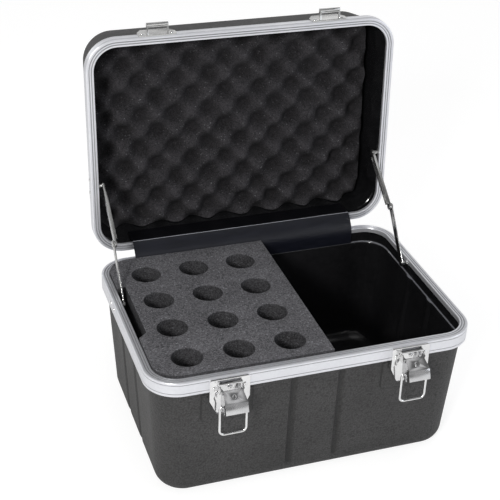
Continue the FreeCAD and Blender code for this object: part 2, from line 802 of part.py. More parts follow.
def lid_catch():
    """Catch on the lid's front: a plate with a hook, whose rolled bar holds the bail."""
    low = rim_gap + catch_foot
    shoulder = rim_gap + catch_shoulder
    high = rim_gap + catch_top
    corners = [(-catch_half_width, low), (catch_half_width, low), (catch_half_width, shoulder),
               (catch_top_half_width, high), (-catch_top_half_width, high), (-catch_half_width, shoulder)]
    vectors = [Vector(x, 0, z) for x, z in corners]
    plate = Part.Face(Part.makePolygon(vectors + vectors[:1])).extrude(Vector(0, -latch_sheet, 0))
    upright = [e for e in plate.Edges if e.BoundBox.XLength < fit_gap and e.BoundBox.ZLength < fit_gap]
    plate = plate.makeFillet(latch_plate_corner, upright)
    hook_low = rim_gap + catch_hook_low
    bar = Part.makeBox(2 * catch_hook_half_width, catch_bar_depth, catch_bar_height,
                       Vector(-catch_hook_half_width, -catch_hook_reach, hook_low))
    long_edges = [e for e in bar.Edges if e.BoundBox.YLength < fit_gap and e.BoundBox.ZLength < fit_gap]
    bar = bar.makeFillet(catch_bar_radius, long_edges)
    slit = Part.makeBox(2 * catch_hook_half_width, catch_slit_width, catch_slit_depth,
                        Vector(-catch_hook_half_width, -catch_hook_reach + catch_bar_depth / 2, hook_low))
    pieces = [bar.cut(slit)]
    for side in (-1, 1):
        x_low = catch_hook_half_width - latch_sheet if side > 0 else -catch_hook_half_width
        cheek = Part.makeBox(latch_sheet, catch_hook_reach - catch_bar_depth / 2, catch_hook_rise,
                             Vector(x_low, -catch_hook_reach + catch_bar_depth / 2, hook_low))
        pieces.append(cheek)
    return plate.fuse(pieces).removeSplitter()


def link(start, end, x_low, x_high, half_width_of_link, hole_radii):
    """Flat link with round ends between two (y, z) points, with a hole at each."""
    thickness = x_high - x_low
    du = end[0] - start[0]
    dv = end[1] - start[1]
    length = math.hypot(du, dv)
    bar = Part.makeBox(thickness, length, 2 * half_width_of_link, Vector(0, 0, -half_width_of_link))
    for y in (0, length):
        bar = bar.fuse(Part.makeCylinder(half_width_of_link, thickness, Vector(0, y, 0), X_AXIS))
    bar = bar.removeSplitter()
    for y, radius in zip((0, length), hole_radii):
        bar = bar.cut(Part.makeCylinder(radius, thickness, Vector(0, y, 0), X_AXIS))
    bar.rotate(Vector(0, 0, 0), X_AXIS, math.degrees(math.atan2(dv, du)))
    bar.translate(Vector(x_low, start[0], start[1]))
    return bar


def opened(y, z):
    """Place of a closed lid's (y, z) point once the lid is open."""
    angle = math.radians(-lid_open_angle)
    dy = y - hinge_y
    dz = z - hinge_z
    turned_y = dy * math.cos(angle) - dz * math.sin(angle)
    turned_z = dy * math.sin(angle) + dz * math.cos(angle)
    return (hinge_y + turned_y, hinge_z + turned_z)


def stay_parts(side):
    """One folding stay: two brackets with studs, two arms and the two halves of the middle rivet."""
    wall = half_width - band_inner_inset
    lower_in = stay_plane
    lower_out = stay_plane + stay_sheet
    upper_out = stay_plane - stay_plane_gap
    upper_in = upper_out - stay_sheet
    base_point = (stay_base_y, rim_z - stay_base_drop)
    middle_point = (stay_middle_y, rim_z + stay_middle_rise)
    lid_closed = (stay_lid_y, rim_z + stay_lid_rise)
    lid_point = opened(*lid_closed)
    holes = (stay_pin_radius + running_gap, stay_pin_radius)
    lower = link(base_point, middle_point, lower_in, lower_out, stay_half_width, holes)
    upper = link(lid_point, middle_point, upper_in, upper_out, stay_half_width, holes)
    upper = upper.fuse(upper_flanges(lid_point, middle_point, upper_in))
    base_bracket = stay_bracket(base_point, wall, lower_in, lower_out)
    lid_bracket = open_lid(stay_bracket(lid_closed, wall, upper_in, upper_out))
    outer_half = rivet_half(middle_point, lower_in, lower_out)
    inner_half = rivet_half(middle_point, upper_in, upper_in - stay_head_height)
    pieces = [base_bracket, lower, outer_half, inner_half, upper, lid_bracket]
    if side < 0:
        pieces = [piece.mirror(Vector(0, 0, 0), X_AXIS) for piece in pieces]
    return pieces


def rivet_half(point, shank_x, head_x):
    """Half of the middle rivet: a shank as long as its arm is thick, and a flat head."""
    shank = Part.makeCylinder(stay_pin_radius, stay_sheet, Vector(shank_x, *point), X_AXIS)
    return shank.fuse(Part.makeCylinder(stay_head_radius, stay_head_height, Vector(head_x, *point), X_AXIS))


def upper_flanges(start, end, x_face):
    """Turned edges that make the upper arm a channel, between its round ends."""
    du = end[0] - start[0]
    dv = end[1] - start[1]
    length = math.hypot(du, dv)
    flanges = []
    for z in (-stay_half_width, stay_half_width - stay_flange_sheet):
        flange = Part.makeBox(stay_flange, length - 2 * stay_half_width, stay_flange_sheet,
                              Vector(-stay_flange, stay_half_width, z))
        flange.rotate(Vector(0, 0, 0), X_AXIS, math.degrees(math.atan2(dv, du)))
        flange.translate(Vector(x_face, start[0], start[1]))
        flanges.append(flange)
    return flanges


def stay_bracket(point, wall, arm_in, arm_out):
    """Plate on the shell's band, with the stud that an arm turns on."""
    y, z = point
    corner = Vector(wall - stay_sheet, y - stay_bracket_half_length, z - stay_bracket_half_height)
    plate = Part.makeBox(stay_sheet, 2 * stay_bracket_half_length, 2 * stay_bracket_half_height, corner)
    stud_end = arm_out + running_gap
    stud = Part.makeCylinder(stay_stud_radius, wall - stud_end, Vector(stud_end, y, z), X_AXIS)
    pin_end = arm_in - running_gap
    pin = Part.makeCylinder(stay_pin_radius, wall - pin_end, Vector(pin_end, y, z), X_AXIS)
    head_end = pin_end - stay_head_height
    head = Part.makeCylinder(stay_head_radius, stay_head_height, Vector(head_end, y, z), X_AXIS)
    return plate.fuse([stud, pin, head]).removeSplitter()


def handle_bracket(side):
    """Foot on the lid's top with an upright lug that holds the handle's pin."""
    x_arm = handle_half_length + handle_arm_sheet / 2
    lug_low = x_arm + handle_seat_gap
    lug_centre = Vector(lug_low, 0, handle_axis_height)
    lug = Part.makeCylinder(handle_arm_half_width, handle_bracket_wall, lug_centre, X_AXIS)
    lug = lug.fuse(Part.makeBox(handle_bracket_wall, 2 * handle_arm_half_width, handle_axis_height,
                                Vector(lug_low, -handle_arm_half_width, 0)))
    foot = Part.makeBox(handle_bracket_foot_width, handle_bracket_foot_depth, handle_bracket_sheet,
                        Vector(lug_low, -handle_bracket_foot_depth / 2, 0))
    hole = Part.makeCylinder(handle_pin_radius + running_gap, 2 * handle_bracket_wall,
                             Vector(lug_low - handle_bracket_wall / 2, 0, handle_axis_height), X_AXIS)
    return place_on_lid(foot.fuse(lug).cut(hole).removeSplitter(), side)


def place_on_lid(shape, side):
    """Puts a piece drawn on the lid's top, for the right end, at its place on the open lid."""
    if side < 0:
        shape = shape.mirror(Vector(0, 0, 0), X_AXIS)
    shape.translate(Vector(0, 0, lid_top_z))
    return open_lid(shape)


def hang_handle(shape):
    """Lets a handle piece hang straight down from its pins, as it does on the open lid."""
    shape.rotate(Vector(0, 0, handle_axis_height), X_AXIS, lid_open_angle - quarter_turn)
    return shape


def handle_arm(side):
    """Steel arm of the handle with its pivot pin."""
    x_low = handle_half_length - handle_arm_sheet / 2
    arm = link((0, handle_axis_height), (handle_reach, handle_axis_height), x_low, x_low + handle_arm_sheet,
               handle_arm_half_width, (handle_pin_radius / 2, handle_tie_radius))
    pin = Part.makeCylinder(handle_pin_radius, handle_arm_sheet + handle_pin_length,
                            Vector(x_low, 0, handle_axis_height), X_AXIS)
    return place_on_lid(hang_handle(arm.fuse(pin).removeSplitter()), side)


def handle_grip():
    """Moulded grip, thicker in the middle, with the tie rod's ends in the arms."""
    inner = handle_half_length - handle_arm_sheet / 2
    outer = handle_half_length + handle_arm_sheet / 2
    profile = [(-outer, 0), (-outer, handle_tie_radius), (-inner, handle_tie_radius),
               (-inner, handle_grip_end_radius), (-inner + handle_grip_taper, handle_grip_radius),
               (inner - handle_grip_taper, handle_grip_radius),
               (inner, handle_grip_end_radius), (inner, handle_tie_radius),
               (outer, handle_tie_radius), (outer, 0)]
    points = [Vector(x, handle_reach + r, handle_axis_height) for x, r in profile]
    face = Part.Face(Part.makePolygon(points + points[:1]))
    grip = face.revolve(Vector(0, handle_reach, handle_axis_height), X_AXIS, full_turn)
    return place_on_lid(hang_handle(grip), 1)


def base_rivets():
    """Rivet heads on the base: latch plates, hinge leaves and beside the stays."""
    heads = []
    front = Vector(0, -1, 0)
    back = Vector(0, 1, 0)
    for side in (-1, 1):
        for x in (-latch_rivet_x, 0, latch_rivet_x):
            heads.append(at_latch(rivet_head(Vector(x, -latch_plate_depth, -latch_rivet_drop), front), side))
        for x in (-hinge_rivet_x, hinge_rivet_x):
            place = Vector(side * hinge_x + x, half_depth + hinge_sheet, rim_z - base_leaf_rivet_drop)
            heads.append(rivet_head(place, back))
        for y in (-stay_rivet_spacing, stay_rivet_spacing):
            place = Vector(side * half_width, stay_base_y + y, rim_z - stay_base_drop)
            heads.append(rivet_head(place, X_AXIS * side))
    return Part.Compound(heads)


def lid_rivets():
    """Rivet heads on the lid: catches, hinge leaves, beside the stays and on the handle brackets."""
    heads = []
    front = Vector(0, -1, 0)
    back = Vector(0, 1, 0)
    x_foot = handle_half_length + handle_arm_sheet / 2 + handle_seat_gap
    for side in (-1, 1):
        for x in (-catch_rivet_x, catch_rivet_x):
            head = rivet_head(Vector(x, -latch_sheet, rim_gap + catch_rivet_rise), front)
            heads.append(at_latch(head, side, True))
        for x in (-hinge_rivet_x, hinge_rivet_x):
            place = Vector(side * hinge_x + x, half_depth + hinge_sheet, rim_z + lid_leaf_rivet_rise)
            heads.append(open_lid(rivet_head(place, back)))
        for y in (-stay_rivet_spacing, stay_rivet_spacing):
            place = Vector(side * half_width, stay_lid_y + y, rim_z + stay_lid_rise)
            heads.append(open_lid(rivet_head(place, X_AXIS * side)))
        for y in (-handle_rivet_y, handle_rivet_y):
            x = x_foot + (handle_bracket_foot_width + handle_bracket_wall) / 2
            heads.append(place_on_lid(rivet_head(Vector(x, y, handle_bracket_sheet), Z_AXIS), side))
    return Part.Compound(heads)


save("base_shell", base_shell())
save("base_rim", rim(base_rim_height, base_rim_inner_height, base_rim_lip, rim_z, -1))
save("lid_shell", open_lid(lid_shell()))
save("lid_rim", open_lid(rim(lid_rim_height, lid_rim_inner_height, lid_rim_lip, lid_rim_z, 1)))
foam_block, foam_pad = mic_foam()
save("mic_foam_block", foam_block)
save("foam_base_pad", foam_pad)
save("lid_egg_crate_foam", open_lid(egg_crate()))
save("hinge_cover", hinge_cover())
for side, word in ((-1, "left"), (1, "right")):
    base_leaf, lid_leaf, pin = hinge_parts(side)
    save("hinge_base_leaf_" + word, base_leaf)
    save("hinge_lid_leaf_" + word, lid_leaf)
    save("hinge_pin_" + word, pin)
    save("latch_plate_" + word, at_latch(latch_plate(), side))
    save("lever_pin_" + word, at_latch(lever_pin(), side))
    save("latch_lever_" + word, at_latch(swing_lever(latch_lever()), side))
    save("lock_plug_" + word, at_latch(swing_lever(lock_plug()), side))
    save("latch_bail_" + word, at_latch(latch_bail(), side))
    save("lid_catch_" + word, at_latch(lid_catch(), side, True))
    stay_names = ("stay_base_bracket_", "stay_lower_arm_", "stay_rivet_outer_", "stay_rivet_inner_",
                  "stay_upper_arm_", "stay_lid_bracket_")
    for name, piece in zip(stay_names, stay_parts(side)):
        save(name + word, piece)
    save("handle_bracket_" + word, handle_bracket(side))
    save("handle_arm_" + word, handle_arm(side))
save("handle_grip", handle_grip())
save("base_rivets", base_rivets())
save("lid_rivets", lid_rivets())
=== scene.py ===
# %% [markdown]
# # A microphone case, dressed for its portrait
# The real object is a moulded plastic case that stands open. Two satin aluminium rims close it,
# a foam block with twelve round pockets fills the left of the base, egg-crate foam lines the lid, and
# chrome latches, folding stays and a vinyl strip over the hinge line do the rest.
#
# The construction comes from a finished frame: every part is already there at its real size. This
# lesson gives each part its surface, and rebuilds those whose curves, creases or softness need a finer
# mesh than the frame has. We work in metres, in the frame's own space.

import json
import math

import bmesh
import bpy
import numpy as np
from mathutils import Matrix, Vector

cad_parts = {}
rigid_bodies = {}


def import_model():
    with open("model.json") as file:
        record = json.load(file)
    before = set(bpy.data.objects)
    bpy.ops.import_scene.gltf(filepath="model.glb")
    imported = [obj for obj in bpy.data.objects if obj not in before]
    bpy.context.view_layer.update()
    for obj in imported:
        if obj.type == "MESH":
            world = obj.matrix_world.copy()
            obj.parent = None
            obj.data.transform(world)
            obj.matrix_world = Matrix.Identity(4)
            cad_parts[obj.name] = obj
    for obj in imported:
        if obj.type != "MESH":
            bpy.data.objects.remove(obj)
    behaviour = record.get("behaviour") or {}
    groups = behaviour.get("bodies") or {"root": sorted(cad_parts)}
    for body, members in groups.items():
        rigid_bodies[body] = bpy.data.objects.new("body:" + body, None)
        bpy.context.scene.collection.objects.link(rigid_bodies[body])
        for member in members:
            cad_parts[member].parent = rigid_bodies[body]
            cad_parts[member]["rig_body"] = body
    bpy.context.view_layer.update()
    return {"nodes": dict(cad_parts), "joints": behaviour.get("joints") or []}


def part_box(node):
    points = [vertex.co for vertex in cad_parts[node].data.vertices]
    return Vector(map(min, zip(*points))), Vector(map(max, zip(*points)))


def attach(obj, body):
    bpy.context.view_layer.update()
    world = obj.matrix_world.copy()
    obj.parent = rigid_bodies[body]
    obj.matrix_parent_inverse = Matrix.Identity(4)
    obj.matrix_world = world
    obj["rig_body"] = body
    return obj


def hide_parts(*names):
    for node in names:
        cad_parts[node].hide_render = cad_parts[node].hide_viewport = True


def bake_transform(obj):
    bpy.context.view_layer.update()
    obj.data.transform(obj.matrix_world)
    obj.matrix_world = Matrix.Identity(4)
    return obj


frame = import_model()
scene = bpy.context.scene
mm = 0.001

# %% [markdown]
# ## What the frame tells us
# The base's rim is the widest part, so its box gives the case's outer faces and the height at which
# base and lid meet. The lid stands open about its hinge. It is easier to draw the lid's parts as if
# it were shut and to swing the finished mesh, so we keep that swing as a matrix.

# %% Read the main sizes
rim_low, rim_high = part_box("base_rim")
half_width = rim_high.x
half_depth = -rim_low.y
rim_z = rim_high.z
rim_gap = 0.4 * mm
lid_z = rim_z + rim_gap
lid_height = 90 * mm
corner_radius = 40 * mm
wall = 3.5 * mm
edge_radius = 20 * mm
soft_gap = 0.4 * mm
face_width = 10.1 * mm
hinge = next(joint for joint in frame["joints"] if joint["name"] == "lid_hinge")
hinge_point = Vector(hinge["pos_m"])
open_angle = math.radians(hinge["range_deg"][1])
to_hinge = Matrix.Translation(hinge_point)
opened = to_hinge @ Matrix.Rotation(-open_angle, 4, "X") @ to_hinge.inverted()
print("case is", round(2 * half_width, 3), "by", round(2 * half_depth, 3), "m,",
      "rims meet at", round(rim_z, 4))

# %% [markdown]
# ## A short way to write nodes
# Shader trees and geometry trees are built in the same manner: make a node, set its options, then
# give each input either a value or another node's output. One helper does this for both kinds.

# %% Node helpers
def add(tree, kind, inputs=None, **options):
    """Makes a node, sets its options, and fills its inputs with values or links."""
    made = tree.nodes.new(kind)
    for name, value in options.items():
        setattr(made, name, value)
    for key, value in (inputs or {}).items():
        socket = made.inputs[key]
        if isinstance(value, bpy.types.NodeSocket):
            tree.links.new(value, socket)
        else:
            socket.default_value = value
    return made


def calc(tree, operation, *values):
    """One step of arithmetic inside a tree."""
    return add(tree, "ShaderNodeMath", dict(enumerate(values)), operation=operation).outputs[0]


def noise(tree, place, scale, detail, **more):
    """Outputs of a noise texture: Fac and Color."""
    inputs = {"Vector": place, "Scale": scale, "Detail": detail, **more}
    return add(tree, "ShaderNodeTexNoise", inputs).outputs


def ranged(tree, value, start, stop, low=0.0, high=1.0, **options):
    """Number that goes from low to high while the value goes from start to stop."""
    inputs = {"Value": value, "From Min": start, "From Max": stop, "To Min": low, "To Max": high}
    return add(tree, "ShaderNodeMapRange", inputs, **options).outputs["Result"]


def scaled(tree, vector, factor):
    """Colour or vector times a number."""
    return add(tree, "ShaderNodeVectorMath", {0: vector, "Scale": factor}, operation="SCALE").outputs[0]


def sockets(tree, inputs, outputs):
    """Gives a node group its named sockets, and returns its input and output nodes."""
    for name, kind, value in inputs:
        socket = tree.interface.new_socket(name, in_out="INPUT", socket_type=kind)
        if value is not None:
            socket.default_value = value
    for name, kind in outputs:
        tree.interface.new_socket(name, in_out="OUTPUT", socket_type=kind)
    return tree.nodes.new("NodeGroupInput"), tree.nodes.new("NodeGroupOutput")


FLOAT = "NodeSocketFloat"
VECTOR = "NodeSocketVector"
GEOMETRY = "NodeSocketGeometry"
print("node helpers ready")

# %% [markdown]
# ## Effects that several finishes share
# Moulded plastic, foam and vinyl are never one even colour, and metal that has been handled carries
# faint marks. Each effect is a shader group with a few named controls. A group gives out only masks
# and heights that change over the surface, and the shader itself stays in each material.

# %% Uneven tone
def make_uneven():
    """Slow blotches and a finer speckle, as one mask from 0 to 1."""
    tree = bpy.data.node_groups.new("uneven_tone", "ShaderNodeTree")
    start, end = sockets(tree, [("Vector", VECTOR, None), ("Scale", FLOAT, 20.0)], [("Mask", FLOAT)])
    place, scale = start.outputs["Vector"], start.outputs["Scale"]
    slow = noise(tree, place, scale, 4.0, Roughness=0.6)["Fac"]
    fast = noise(tree, place, calc(tree, "MULTIPLY", scale, 17.0), 2.0)["Fac"]
    both = calc(tree, "MULTIPLY_ADD", fast, 0.35, calc(tree, "MULTIPLY", slow, 0.65))
    tree.links.new(ranged(tree, both, 0.36, 0.64), end.inputs["Mask"])
    return tree


# %% Pebble grain
def make_pebble():
    """Small raised pebbles with valleys between them, as on a textured mould."""
    tree = bpy.data.node_groups.new("pebble_grain", "ShaderNodeTree")
    start, end = sockets(tree, [("Vector", VECTOR, None), ("Scale", FLOAT, 600.0)],
                         [("Height", FLOAT), ("Valley", FLOAT)])
    place, scale = start.outputs["Vector"], start.outputs["Scale"]
    bend = noise(tree, place, calc(tree, "MULTIPLY", scale, 0.4), 1.0)["Color"]
    moved = add(tree, "ShaderNodeVectorMath", {0: place, 1: scaled(tree, bend, 1.6 * mm)}, operation="ADD")
    cells = add(tree, "ShaderNodeTexVoronoi", {"Vector": moved.outputs[0], "Scale": scale},
                feature="SMOOTH_F1")
    distance = cells.outputs["Distance"]
    tree.links.new(calc(tree, "SUBTRACT", 1.0, distance), end.inputs["Height"])
    tree.links.new(ranged(tree, distance, 0.35, 0.75), end.inputs["Valley"])
    return tree


# %% Foam cells
def make_foam_cells():
    """Open cells of cut foam: a rough height, a shade for each cell and a finer tone."""
    tree = bpy.data.node_groups.new("foam_cells", "ShaderNodeTree")
    start, end = sockets(tree, [("Vector", VECTOR, None), ("Scale", FLOAT, 900.0)],
                         [("Height", FLOAT), ("Fleck", FLOAT), ("Tone", FLOAT)])
    place, scale = start.outputs["Vector"], start.outputs["Scale"]
    cells = add(tree, "ShaderNodeTexVoronoi", {"Vector": place, "Scale": scale})
    dots = noise(tree, place, calc(tree, "MULTIPLY", scale, 0.9), 3.0)["Fac"]
    shade = add(tree, "ShaderNodeSeparateColor", {"Color": cells.outputs["Color"]})
    tree.links.new(calc(tree, "ADD", cells.outputs["Distance"], dots), end.inputs["Height"])
    tree.links.new(shade.outputs["Red"], end.inputs["Fleck"])
    tree.links.new(dots, end.inputs["Tone"])
    return tree


uneven, pebble, foam_cells = make_uneven(), make_pebble(), make_foam_cells()
print("shared effects:", [tree.name for tree in (uneven, pebble, foam_cells)])

# %% [markdown]
# ## The finishes
# A finish is a Principled shader whose colour, roughness and bump come from these effects. Numbers
# that are the same everywhere stay on the shader's own sockets. The start of every finish is alike,
# so it has a helper, and so do the steps that most finishes take: a colour between two tones, a number
# between two values, and a value that the piece's mesh carries.

# %% Material helpers
def begin(name, **fixed):
    """New material with a Principled shader; fixed are inputs that don't change over the surface."""
    material = bpy.data.materials.new(name)
    material.use_nodes = True
    tree = material.node_tree
    shader = tree.nodes["Principled BSDF"]
    for key, value in fixed.items():
        shader.inputs[key.replace("_", " ")].default_value = value
    place = tree.nodes.new("ShaderNodeTexCoord").outputs["Object"]
    return material, tree, shader, place


def effect(tree, group, place, scale):
    """Puts a shared effect in a material."""
    return add(tree, "ShaderNodeGroup", {"Vector": place, "Scale": scale}, node_tree=group).outputs


def carried(tree, name):
    """Value that a piece's mesh carries under a name; 0 where it carries none."""
    return add(tree, "ShaderNodeAttribute", attribute_name=name).outputs["Fac"]


def tone(tree, mask, first, second):
    """Colour between two colours, each written here or another node's output, by a mask."""
    ends = [value if isinstance(value, bpy.types.NodeSocket) else (*value, 1) for value in (first, second)]
    inputs = {"Factor": mask, 6: ends[0], 7: ends[1]}
    return add(tree, "ShaderNodeMix", inputs, data_type="RGBA").outputs[2]


def darkened(tree, colour, mask, most):
    """Colour that loses a share of its light, the most where the mask is 1."""
    return scaled(tree, colour, calc(tree, "MULTIPLY_ADD", mask, -most, 1.0))


def between(tree, mask, low, high):
    """Number between two values, by a mask."""
    return ranged(tree, mask, 0.0, 1.0, low, high)


def relief(tree, shader, height, distance, strength=1.0, under=None):
    """Bump whose full height is a real distance, on top of an earlier bump where one is given."""
    inputs = {"Height": height, "Distance": distance, "Strength": strength}
    if under is not None:
        inputs["Normal"] = under
    normal = add(tree, "ShaderNodeBump", inputs).outputs["Normal"]
    tree.links.new(normal, shader.inputs["Normal"])
    return normal


def put(tree, shader, **values):
    """Links colours and numbers that change over the surface to the shader."""
    for key, value in values.items():
        tree.links.new(value, shader.inputs[key.replace("_", " ")])


print("material helpers ready")

# %% [markdown]
# ## Moulded plastic, outside and inside
# The outside came off a textured mould: charcoal, matt, with pebbles a little over a millimetre
# across. The valleys between the pebbles are painted darker as painted shade, and so are the
# channels and the step round each latch pad, where the tub's mesh carries a value named dent that
# darkens them. The inside was against the smooth half, so it is black and glossy, and slightly wavy
# where the sheet was drawn down. Its ledge is painted pale as a painted highlight, by a second value
# stored on the mesh.

# %% Plastic
def make_shell_outside():
    material, tree, shader, place = begin("shell_pebbled_plastic", Specular_IOR_Level=0.42)
    grain = effect(tree, pebble, place, 540.0)["Height"]
    blotch = effect(tree, uneven, place, 14.0)["Mask"]
    # Painted shade: the colour is darker in the valleys between the pebbles than on their tops, and the
    # blotches make whole patches lighter or darker.
    pebble_shade_and_tone = calc(tree, "MULTIPLY", grain, calc(tree, "MULTIPLY_ADD", blotch, 0.5, 0.6))
    colour = tone(tree, pebble_shade_and_tone, (0.002, 0.002, 0.002), (0.064, 0.063, 0.064))
    # Painted shade: dent darkens the channels and the step round each latch pad.
    put(tree, shader, Base_Color=darkened(tree, colour, carried(tree, "dent"), 0.5),
        Roughness=between(tree, blotch, 0.50, 0.66))
    first = relief(tree, shader, noise(tree, place, 26.0, 1.0)["Fac"], 0.5 * mm, 0.35)
    relief(tree, shader, grain, 0.5 * mm, 1.0, first)
    return material


def make_shell_inside():
    material, tree, shader, place = begin("shell_smooth_inside", Specular_IOR_Level=0.6)
    blotch = effect(tree, uneven, place, 9.0)["Mask"]
    black = tone(tree, blotch, (0.0055, 0.0056, 0.0062), (0.011, 0.011, 0.012))
    # Painted highlight: the ledge's rounding is painted pale, standing for its reflection.
    put(tree, shader, Base_Color=tone(tree, carried(tree, "rub"), black, (0.17, 0.175, 0.195)),
        Roughness=between(tree, blotch, 0.11, 0.21))
    relief(tree, shader, noise(tree, place, 22.0, 2.0)["Fac"], 0.6 * mm, 0.25)
    return material


shell_outside, shell_inside = make_shell_outside(), make_shell_inside()
plastics = (shell_outside, shell_inside)
print("plastic:", [finish.name for finish in plastics])

# %% [markdown]
# ## Foam
# The pocket foam is a dense charcoal foam cut with a knife, so its faces are flat but full of tiny
# open cells. A few cells are painted pale as painted glints. Just below its top the walls are painted
# darker as painted shade, by the height of each point. The egg-crate foam in the lid is the same stuff
# in a darker dye. Its hollows are painted darker than its peaks as painted shade, so its mesh carries
# the height of the waves as hollow.

# %% Foam finishes
def make_foam(name, dark, light, flash, scale, depth, rarity, shading=0.0, top=-1.0):
    material, tree, shader, place = begin(name, Roughness=0.95, Specular_IOR_Level=0.2)
    cells = effect(tree, foam_cells, place, scale)
    blotch = effect(tree, uneven, place, 30.0)["Mask"]
    grain = calc(tree, "MULTIPLY_ADD", cells["Fleck"], 0.7, calc(tree, "MULTIPLY", cells["Tone"], 0.3))
    mixed = calc(tree, "MULTIPLY_ADD", blotch, 0.2, calc(tree, "MULTIPLY", grain, 0.8))
    body = tone(tree, mixed, dark, light)
    # Painted glints: the rarest cells take the flash colour.
    colour = tone(tree, ranged(tree, cells["Fleck"], rarity, 1.0), body, flash)
    # Painted shade: the egg-crate's hollows are darker than its peaks.
    deep = ranged(tree, carried(tree, "hollow"), -0.75, 0.8, 1.0, 1.0 - shading,
                  interpolation_type="SMOOTHSTEP")
    height = add(tree, "ShaderNodeSeparateXYZ", {0: place}).outputs["Z"]
    # Painted shade: everything below the top's soft edge is darkened to half.
    below = ranged(tree, height, top - 1.6 * mm, top - 0.4 * mm, 0.5, 1.0)
    put(tree, shader, Base_Color=scaled(tree, colour, calc(tree, "MULTIPLY", deep, below)))
    relief(tree, shader, cells["Height"], depth, 1.0)
    return material


pocket_foam = make_foam("charcoal_foam", (0.008, 0.008, 0.0085), (0.178, 0.176, 0.190), (0.23, 0.23, 0.25),
                        820.0, 0.5 * mm, 0.97, top=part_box("mic_foam_block")[1].z)
crate_foam = make_foam("dark_foam", (0.004, 0.004, 0.0045), (0.062, 0.059, 0.065), (0.16, 0.16, 0.17),
                       900.0, 0.45 * mm, 0.985, shading=0.55)
print("foam:", pocket_foam.name, crate_foam.name)

# %% [markdown]
# ## Vinyl and grip
# The strip over the hinge line is thin navy-black vinyl with an embossed leather grain and soft
# creases, whose valleys are painted darker as painted shade. Its mesh carries run, the way in
# millimetres from its end in the lid. A pale line is painted where it folds over the lid's rim, a
# painted highlight, and the part behind that fold, inside the lid, is painted dark as painted shade.
# The handle's grip is a plain dark plastic with a fine spark-eroded surface.

# %% Vinyl and grip finishes
fold_run, fold_shade = 28.6, (27.0, 30.0)


def make_vinyl():
    material, tree, shader, place = begin("hinge_strip_vinyl", Specular_IOR_Level=0.5)
    grain = effect(tree, pebble, place, 900.0)
    stretched = add(tree, "ShaderNodeMapping", {"Vector": place, "Scale": (1.0, 3.5, 3.5)}).outputs[0]
    crease = noise(tree, stretched, 38.0, 4.0, Distortion=0.6)["Fac"]
    # Painted shade: the navy is darker where the crease noise is low, the low side of its bump.
    navy = tone(tree, crease, (0.002, 0.0024, 0.005), (0.009, 0.010, 0.017))
    run = carried(tree, "run")
    # Painted highlight: a pale line along the fold over the lid's rim.
    off = calc(tree, "ABSOLUTE", calc(tree, "SUBTRACT", run, fold_run))
    beside = calc(tree, "MINIMUM", 1.0, calc(tree, "MULTIPLY", off, 1.8))
    # Painted shade: the part inside the lid is darkened.
    shaded = scaled(tree, navy, ranged(tree, run, *fold_shade, 0.2, 1.0))
    put(tree, shader, Base_Color=tone(tree, beside, (0.42, 0.43, 0.47), shaded),
        Roughness=between(tree, grain["Valley"], 0.30, 0.46))
    first = relief(tree, shader, crease, 0.8 * mm, 0.5)
    relief(tree, shader, grain["Height"], 0.12 * mm, 0.6, first)
    return material


def make_grip():
    material, tree, shader, place = begin("handle_grip_plastic", Specular_IOR_Level=0.5)
    grain = effect(tree, pebble, place, 1500.0)["Height"]
    blotch = effect(tree, uneven, place, 25.0)["Mask"]
    put(tree, shader, Base_Color=tone(tree, blotch, (0.012, 0.012, 0.012), (0.028, 0.028, 0.028)),
        Roughness=between(tree, blotch, 0.36, 0.5))
    relief(tree, shader, grain, 0.08 * mm, 0.5)
    return material


vinyl, grip_plastic = make_vinyl(), make_grip()
print("vinyl and grip:", vinyl.name, grip_plastic.name)

# %% [markdown]
# ## Metals
# The rims are extruded aluminium: die lines run along the length, so their pattern follows a value
# stored on the mesh, the distance across the profile. A second value darkens the bottoms of the
# grooves, as painted shade.
# The latches are chromed, with pressing waves and hairline scratches, and their levers have a duller,
# greyer chrome. The lid's catches take the stays' darker steel, as painted shade under their hooks.
# Hinges and stays are plated steel, duller still.

# %% Metal finishes
def make_aluminium():
    material, tree, shader, place = begin("rim_satin_aluminium", Metallic=0.7)
    lines = add(tree, "ShaderNodeTexNoise", {"W": carried(tree, "across"), "Scale": 2600.0, "Detail": 2.0},
                noise_dimensions="1D").outputs["Fac"]
    blotch = effect(tree, uneven, place, 16.0)["Mask"]
    mixed = calc(tree, "MULTIPLY_ADD", lines, 0.75, calc(tree, "MULTIPLY", blotch, 0.25))
    bare = tone(tree, mixed, (0.62, 0.63, 0.67), (0.86, 0.865, 0.90))
    # Painted shade: the groove bottoms are darkened.
    put(tree, shader, Base_Color=darkened(tree, bare, carried(tree, "sunk"), 0.55),
        Roughness=between(tree, mixed, 0.40, 0.26))
    relief(tree, shader, lines, 0.05 * mm, 0.7)
    return material


def make_metal(name, dark, light, smooth, rough, wave):
    """Plated sheet: two tones of grey, two roughnesses and the height of its pressing waves."""
    material, tree, shader, place = begin(name, Metallic=1.0)
    blotch = effect(tree, uneven, place, 60.0)["Mask"]
    brushed = add(tree, "ShaderNodeMapping", {"Vector": place, "Scale": (0.15, 1.0, 1.0)}).outputs[0]
    hairs = noise(tree, brushed, 3200.0, 2.0)["Fac"]
    mixed = calc(tree, "MULTIPLY_ADD", hairs, 0.4, calc(tree, "MULTIPLY", blotch, 0.6))
    put(tree, shader, Base_Color=tone(tree, mixed, dark, light),
        Roughness=between(tree, mixed, smooth, rough))
    first = relief(tree, shader, noise(tree, place, 60.0, 1.0)["Fac"], wave, 0.6)
    relief(tree, shader, hairs, 0.01 * mm, 0.5, first)
    return material


